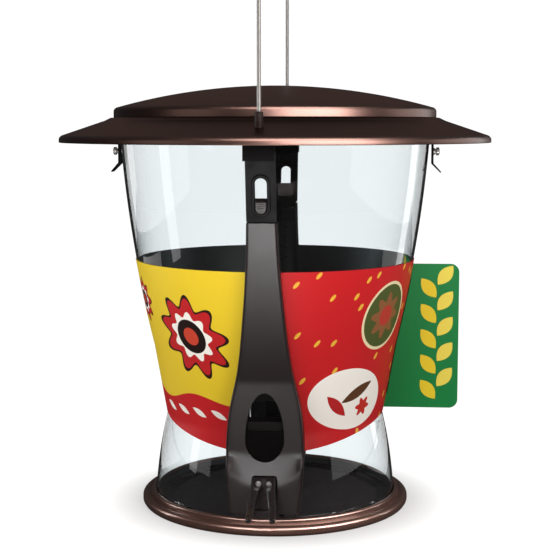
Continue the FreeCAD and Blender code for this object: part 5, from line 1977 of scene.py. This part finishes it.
@dataclass(frozen=True)
class Softbox:
    """Rectangular area lamp aimed at a point."""

    name: str
    place: Triple
    aim: Triple
    size: Pair
    power: float
    tone: str = "#FFFFFF"
    flagged: Sequence[str] = ()
    only: Sequence[str] = ()
    mirrored: bool = True
    through: bool = True
    spread: float = 180.0

    def build(self) -> None:
        """Hang the lamp out of the camera's sight; it is kept off some pieces, or off all but a few."""
        data = bpy.data.lights.new(self.name, "AREA")
        data.shape = "RECTANGLE"
        data.size, data.size_y = (length * MM for length in self.size)
        data.energy = self.power
        data.spread = math.radians(self.spread)
        data.color = linear(self.tone)[:3]
        lamp = bpy.data.objects.new(self.name, data)
        bpy.context.scene.collection.objects.link(lamp)
        lamp.location = [length * MM for length in self.place]
        way = Vector(self.aim) - Vector(self.place)
        lamp.rotation_euler = way.to_track_quat("-Z", "Y").to_euler()
        lamp.visible_camera = False
        lamp.visible_glossy = self.mirrored
        lamp.visible_transmission = self.through
        if self.flagged or self.only:
            lit = bpy.data.collections.new(f"{self.name}_lit")
            lamp.light_linking.receiver_collection = lit
            for index, name in enumerate(self.only or self.flagged):
                lit.objects.link(bpy.data.objects[name])
                state = "INCLUDE" if self.only else "EXCLUDE"
                lit.collection_objects[index].light_linking.link_state = state


@dataclass
class Studio:
    """Pale floor, white surroundings, soft lamps and the camera."""

    floor_size: float = 6000.0
    floor_level: float = -0.2
    lens: float = 85.09
    eye: Triple = (68.0, -904.5, 264.0)
    tilt: float = 83.42
    swing: float = 4.3
    mirrored: float = 0.03
    ceiling: float = 0.06
    # Floor emission under the tray, lowered there as a painted shadow
    glow: float = 0.55
    backdrop: float = 1.04
    ambient: float = 0.35
    horizon: Pair = (0.36, 0.6)
    # Where the painted shadow round the tray fades out, and the floor's emission past it
    painted_shadow_span: Pair = (94.0, 125.0)
    glow_past_painted_shadow: float = 0.95
    greys: Triple = (0.3, 0.05, 0.8)

    def ways(self, tree: NodeTree) -> tuple[NodeSocket, NodeSocket]:
        """Tell light's ways apart.

        Args:
            tree: Node tree of the floor or the world.

        Returns:
            One where a ray comes straight from the camera or only through clear walls, and one where it has
            been scattered by a matt surface.
        """
        path = add_node(tree, "ShaderNodeLightPath").outputs
        bounces = add_node(tree, "ShaderNodeMath", {"operation": "ADD"}, {
            0: path["Diffuse Depth"], 1: path["Glossy Depth"]})
        clean = add_node(tree, "ShaderNodeMath", {"operation": "LESS_THAN"}, {0: bounces.outputs[0], 1: 0.5})
        through = add_node(tree, "ShaderNodeMath", {"operation": "MULTIPLY"}, {
            0: path["Is Transmission Ray"], 1: clean.outputs[0]})
        straight = add_node(tree, "ShaderNodeMath", {"operation": "MAXIMUM"}, {
            0: path["Is Camera Ray"], 1: through.outputs[0]})
        scattered = add_node(tree, "ShaderNodeMath", {"operation": "GREATER_THAN"}, {
            0: path["Diffuse Depth"], 1: 0.5})
        return straight.outputs[0], scattered.outputs[0]

    def floor(self) -> None:
        """White floor: it glows to the camera, so that it runs into the background, and is dark in mirrors.

        The emission is weaker under the tray and rises round it, to where the tray's soft shadow ends: a
        painted shadow. The three greys are for what the camera sees, for mirrors and for scattered light.
        """
        material, tree = new_tree("white_studio_floor")
        material.cycles.emission_sampling = "NONE"
        place = add_node(tree, "ShaderNodeTexCoord").outputs["Object"]
        away = add_node(tree, "ShaderNodeVectorMath", {"operation": "LENGTH"}, {0: place})
        # Painted shadow: the floor's emission is lower near the tray and rises to full past it
        near, far = (length * MM for length in self.painted_shadow_span)
        rise = add_node(tree, "ShaderNodeMapRange", None, {
            "Value": away.outputs["Value"], "From Min": near, "From Max": far, "To Min": self.glow,
            "To Max": self.glow_past_painted_shadow})
        glow = add_node(tree, "ShaderNodeEmission", None, {"Strength": rise.outputs["Result"]})
        seen, mirrored, lit = (add_node(tree, "ShaderNodeBsdfDiffuse", None, {
            "Color": (grey, grey, grey, 1.0)}).outputs[0] for grey in self.greys)
        seen = add_node(tree, "ShaderNodeAddShader", None, {0: seen, 1: glow.outputs[0]})
        straight, scattered = self.ways(tree)
        other = add_node(tree, "ShaderNodeMixShader", None, {0: scattered, 1: mirrored, 2: lit})
        mixed = add_node(tree, "ShaderNodeMixShader", None, {
            0: straight, 1: other.outputs[0], 2: seen.outputs[0]})
        add_node(tree, "ShaderNodeOutputMaterial", None, {"Surface": mixed.outputs[0]})
        half = self.floor_size / 2
        corners = np.array([[(-half, -half, self.floor_level), (half, -half, self.floor_level)],
                            [(-half, half, self.floor_level), (half, half, self.floor_level)]])
        mesh = make_mesh("studio_floor", [grid_patch(corners)], recalculate=False)
        make_object("studio_floor", mesh, [material])

    def world(self) -> None:
        """White to the camera and through clear walls; for reflections dark at the horizon, dim overhead."""
        world = bpy.data.worlds.new("white_studio")
        bpy.context.scene.world = world
        world.use_nodes = True
        tree = world.node_tree
        tree.nodes.clear()
        place = add_node(tree, "ShaderNodeTexCoord").outputs["Generated"]
        height = add_node(tree, "ShaderNodeSeparateXYZ", None, {0: place}).outputs[2]
        low, high = self.horizon
        fade = add_node(tree, "ShaderNodeMapRange", None, {
            "Value": height, "From Min": low, "From Max": high,
            "To Min": self.mirrored, "To Max": self.ceiling})
        straight, scattered = self.ways(tree)
        level = add_node(tree, "ShaderNodeMix", {"data_type": "FLOAT"}, {
            0: scattered, 2: fade.outputs["Result"], 3: self.ambient})
        shown = add_node(tree, "ShaderNodeMix", {"data_type": "FLOAT"}, {
            0: straight, 2: level.outputs[0], 3: self.backdrop})
        light = add_node(tree, "ShaderNodeBackground", None, {
            "Color": (1.0, 1.0, 1.0, 1.0), "Strength": shown.outputs[0]})
        add_node(tree, "ShaderNodeOutputWorld", None, {"Surface": light.outputs[0]})

    def lamps(self) -> None:
        """Hang the lamps.

        The key and the strips light all but the clear wall and the roof, and the low strip and the fill all
        but the clear wall. Streaks, sheens and the back and floor lamps are for the clear wall alone, and the
        others for the tray and columns, the roof's edges, the roof's tops or the rear.
        """
        glass = ("hopper_wall",)
        edges = ("roof_brim_lip", "roof_dome_band")
        tops = ("roof_brim_skin", "roof_dome_skin")
        shiny = glass + tops + edges
        tray = ("tray_dish",)
        low = ("front_column_channel", "rear_column_channel", "tray_dish", "front_perch_fork",
               "front_perch_rivets")
        rear = ("rear_column_channel", "rear_strap_arm", "rear_perch_fork")
        wall = {"only": glass, "through": False}
        for lamp in (
            Softbox("key", (558, -769, 480), (0, 0, 260), (300, 420), 3.2, "#FFF4EA", flagged=shiny),
            Softbox("left_strip", (-895, 94, 300), (0, 0, 200), (120, 600), 2.0, flagged=shiny),
            Softbox("right_strip", (861, 263, 300), (0, 0, 200), (80, 600), 1.0, flagged=shiny),
            Softbox("left_streak", (-560, -134, 205), (0, 0, 205), (95, 400), 0.25, **wall),
            Softbox("right_streak", (500, 288, 205), (0, 0, 205), (100, 400), 0.29, **wall),
            Softbox("left_sheen", (-900, 150, 300), (0, 150, 300), (1400, 900), 4.4, **wall),
            Softbox("right_sheen", (900, 150, 300), (0, 150, 300), (1400, 900), 4.4, **wall),
            Softbox("back_left", (-1140, 950, 300), (-1140, 0, 300), (800, 900), 2.1, **wall),
            Softbox("back_right", (950, 950, 300), (950, 0, 300), (800, 900), 2.1, **wall),
            Softbox("floor_left", (-435, 310, 0.5), (-435, 310, 300), (550, 480), 0.83, **wall),
            Softbox("floor_right", (430, 310, 0.5), (430, 310, 300), (550, 480), 0.83, **wall),
            Softbox("low_strip", (0, -440, 45), (0, -115, 245), (500, 100), 0.175, flagged=glass,
                    spread=50.0),
            Softbox("front_low", (-40, -566, 95), (0, -91, 24), (260, 40), 0.02, only=low, spread=20.0),
            Softbox("tray_front", (180, -600, 420), (60, -90, 8), (1500, 480), 20.0, only=tray),
            Softbox("tray_right", (640, -300, 420), (60, -60, 8), (600, 480), 9.0, only=tray),
            Softbox("fill", (-500, -850, 380), (0, 0, 180), (500, 500), 2.5, flagged=glass, mirrored=False),
            Softbox("roof_front", (450, -781, 420), (0, 0, 265), (800, 520), 14.5, only=edges),
            Softbox("roof_high", (242, -543, 940), (0, 0, 265), (900, 600), 14.0, only=edges),
            Softbox("roof_top", (0, 700, 800), (0, 0, 265), (1200, 800), 0.14, "#FFA98C", only=tops),
            Softbox("roof_bounce", (0, -900, 520), (0, 0, 280), (1600, 700), 0.6, only=tops),
            Softbox("rear_key", (-558, 769, 480), (0, 90, 150), (400, 420), 3.2, only=rear),
            Softbox("roof_right", (850, 350, 420), (0, 0, 265), (900, 520), 1.7, only=edges),
            Softbox("roof_left", (-750, -600, 420), (0, 0, 265), (600, 520), 0.5, only=edges),
        ):
            lamp.build()

    def camera(self) -> None:
        """Camera at the photograph's height and distance."""
        data = bpy.data.cameras.new("studio_camera")
        data.lens = self.lens
        data.sensor_width = 36.0
        eye = bpy.data.objects.new("studio_camera", data)
        bpy.context.scene.collection.objects.link(eye)
        eye.location = [length * MM for length in self.eye]
        eye.rotation_euler = (math.radians(self.tilt), 0.0, math.radians(self.swing))
        bpy.context.scene.camera = eye

    def build(self) -> None:
        """Set up the studio."""
        self.floor()
        self.world()
        self.lamps()
        self.camera()
        bpy.context.scene.view_settings.view_transform = "Standard"


class Feeder:
    """The whole feeder: its sub-assemblies, built in order."""

    def __init__(self) -> None:
        """Gather the sub-assemblies on one hopper wall."""
        wall = HopperWall()
        self.parts: list[Any] = [Roof(), Tray(), Hopper(wall), Bail(), Tag(wall), Screws()]
        for side in Side:
            station = Station(side, wall)
            self.parts += [kind(station) for kind in (Column, Strap, Adjuster, Gate, Perch, Spring)]
        for hand in Hand:
            self.parts += [Clip(hand), Label(hand, Column(Station(Side.FRONT, wall)))]

    def build(self) -> None:
        """Build and dress every piece."""
        finishes = Finishes()
        for part in self.parts:
            part.build(finishes)
        dress_nodes(finishes)


def main() -> None:
    """Build the feeder and its studio."""
    logging.basicConfig(level=logging.INFO)
    Feeder().build()
    Studio().build()


if __name__ == "__main__":
    main()
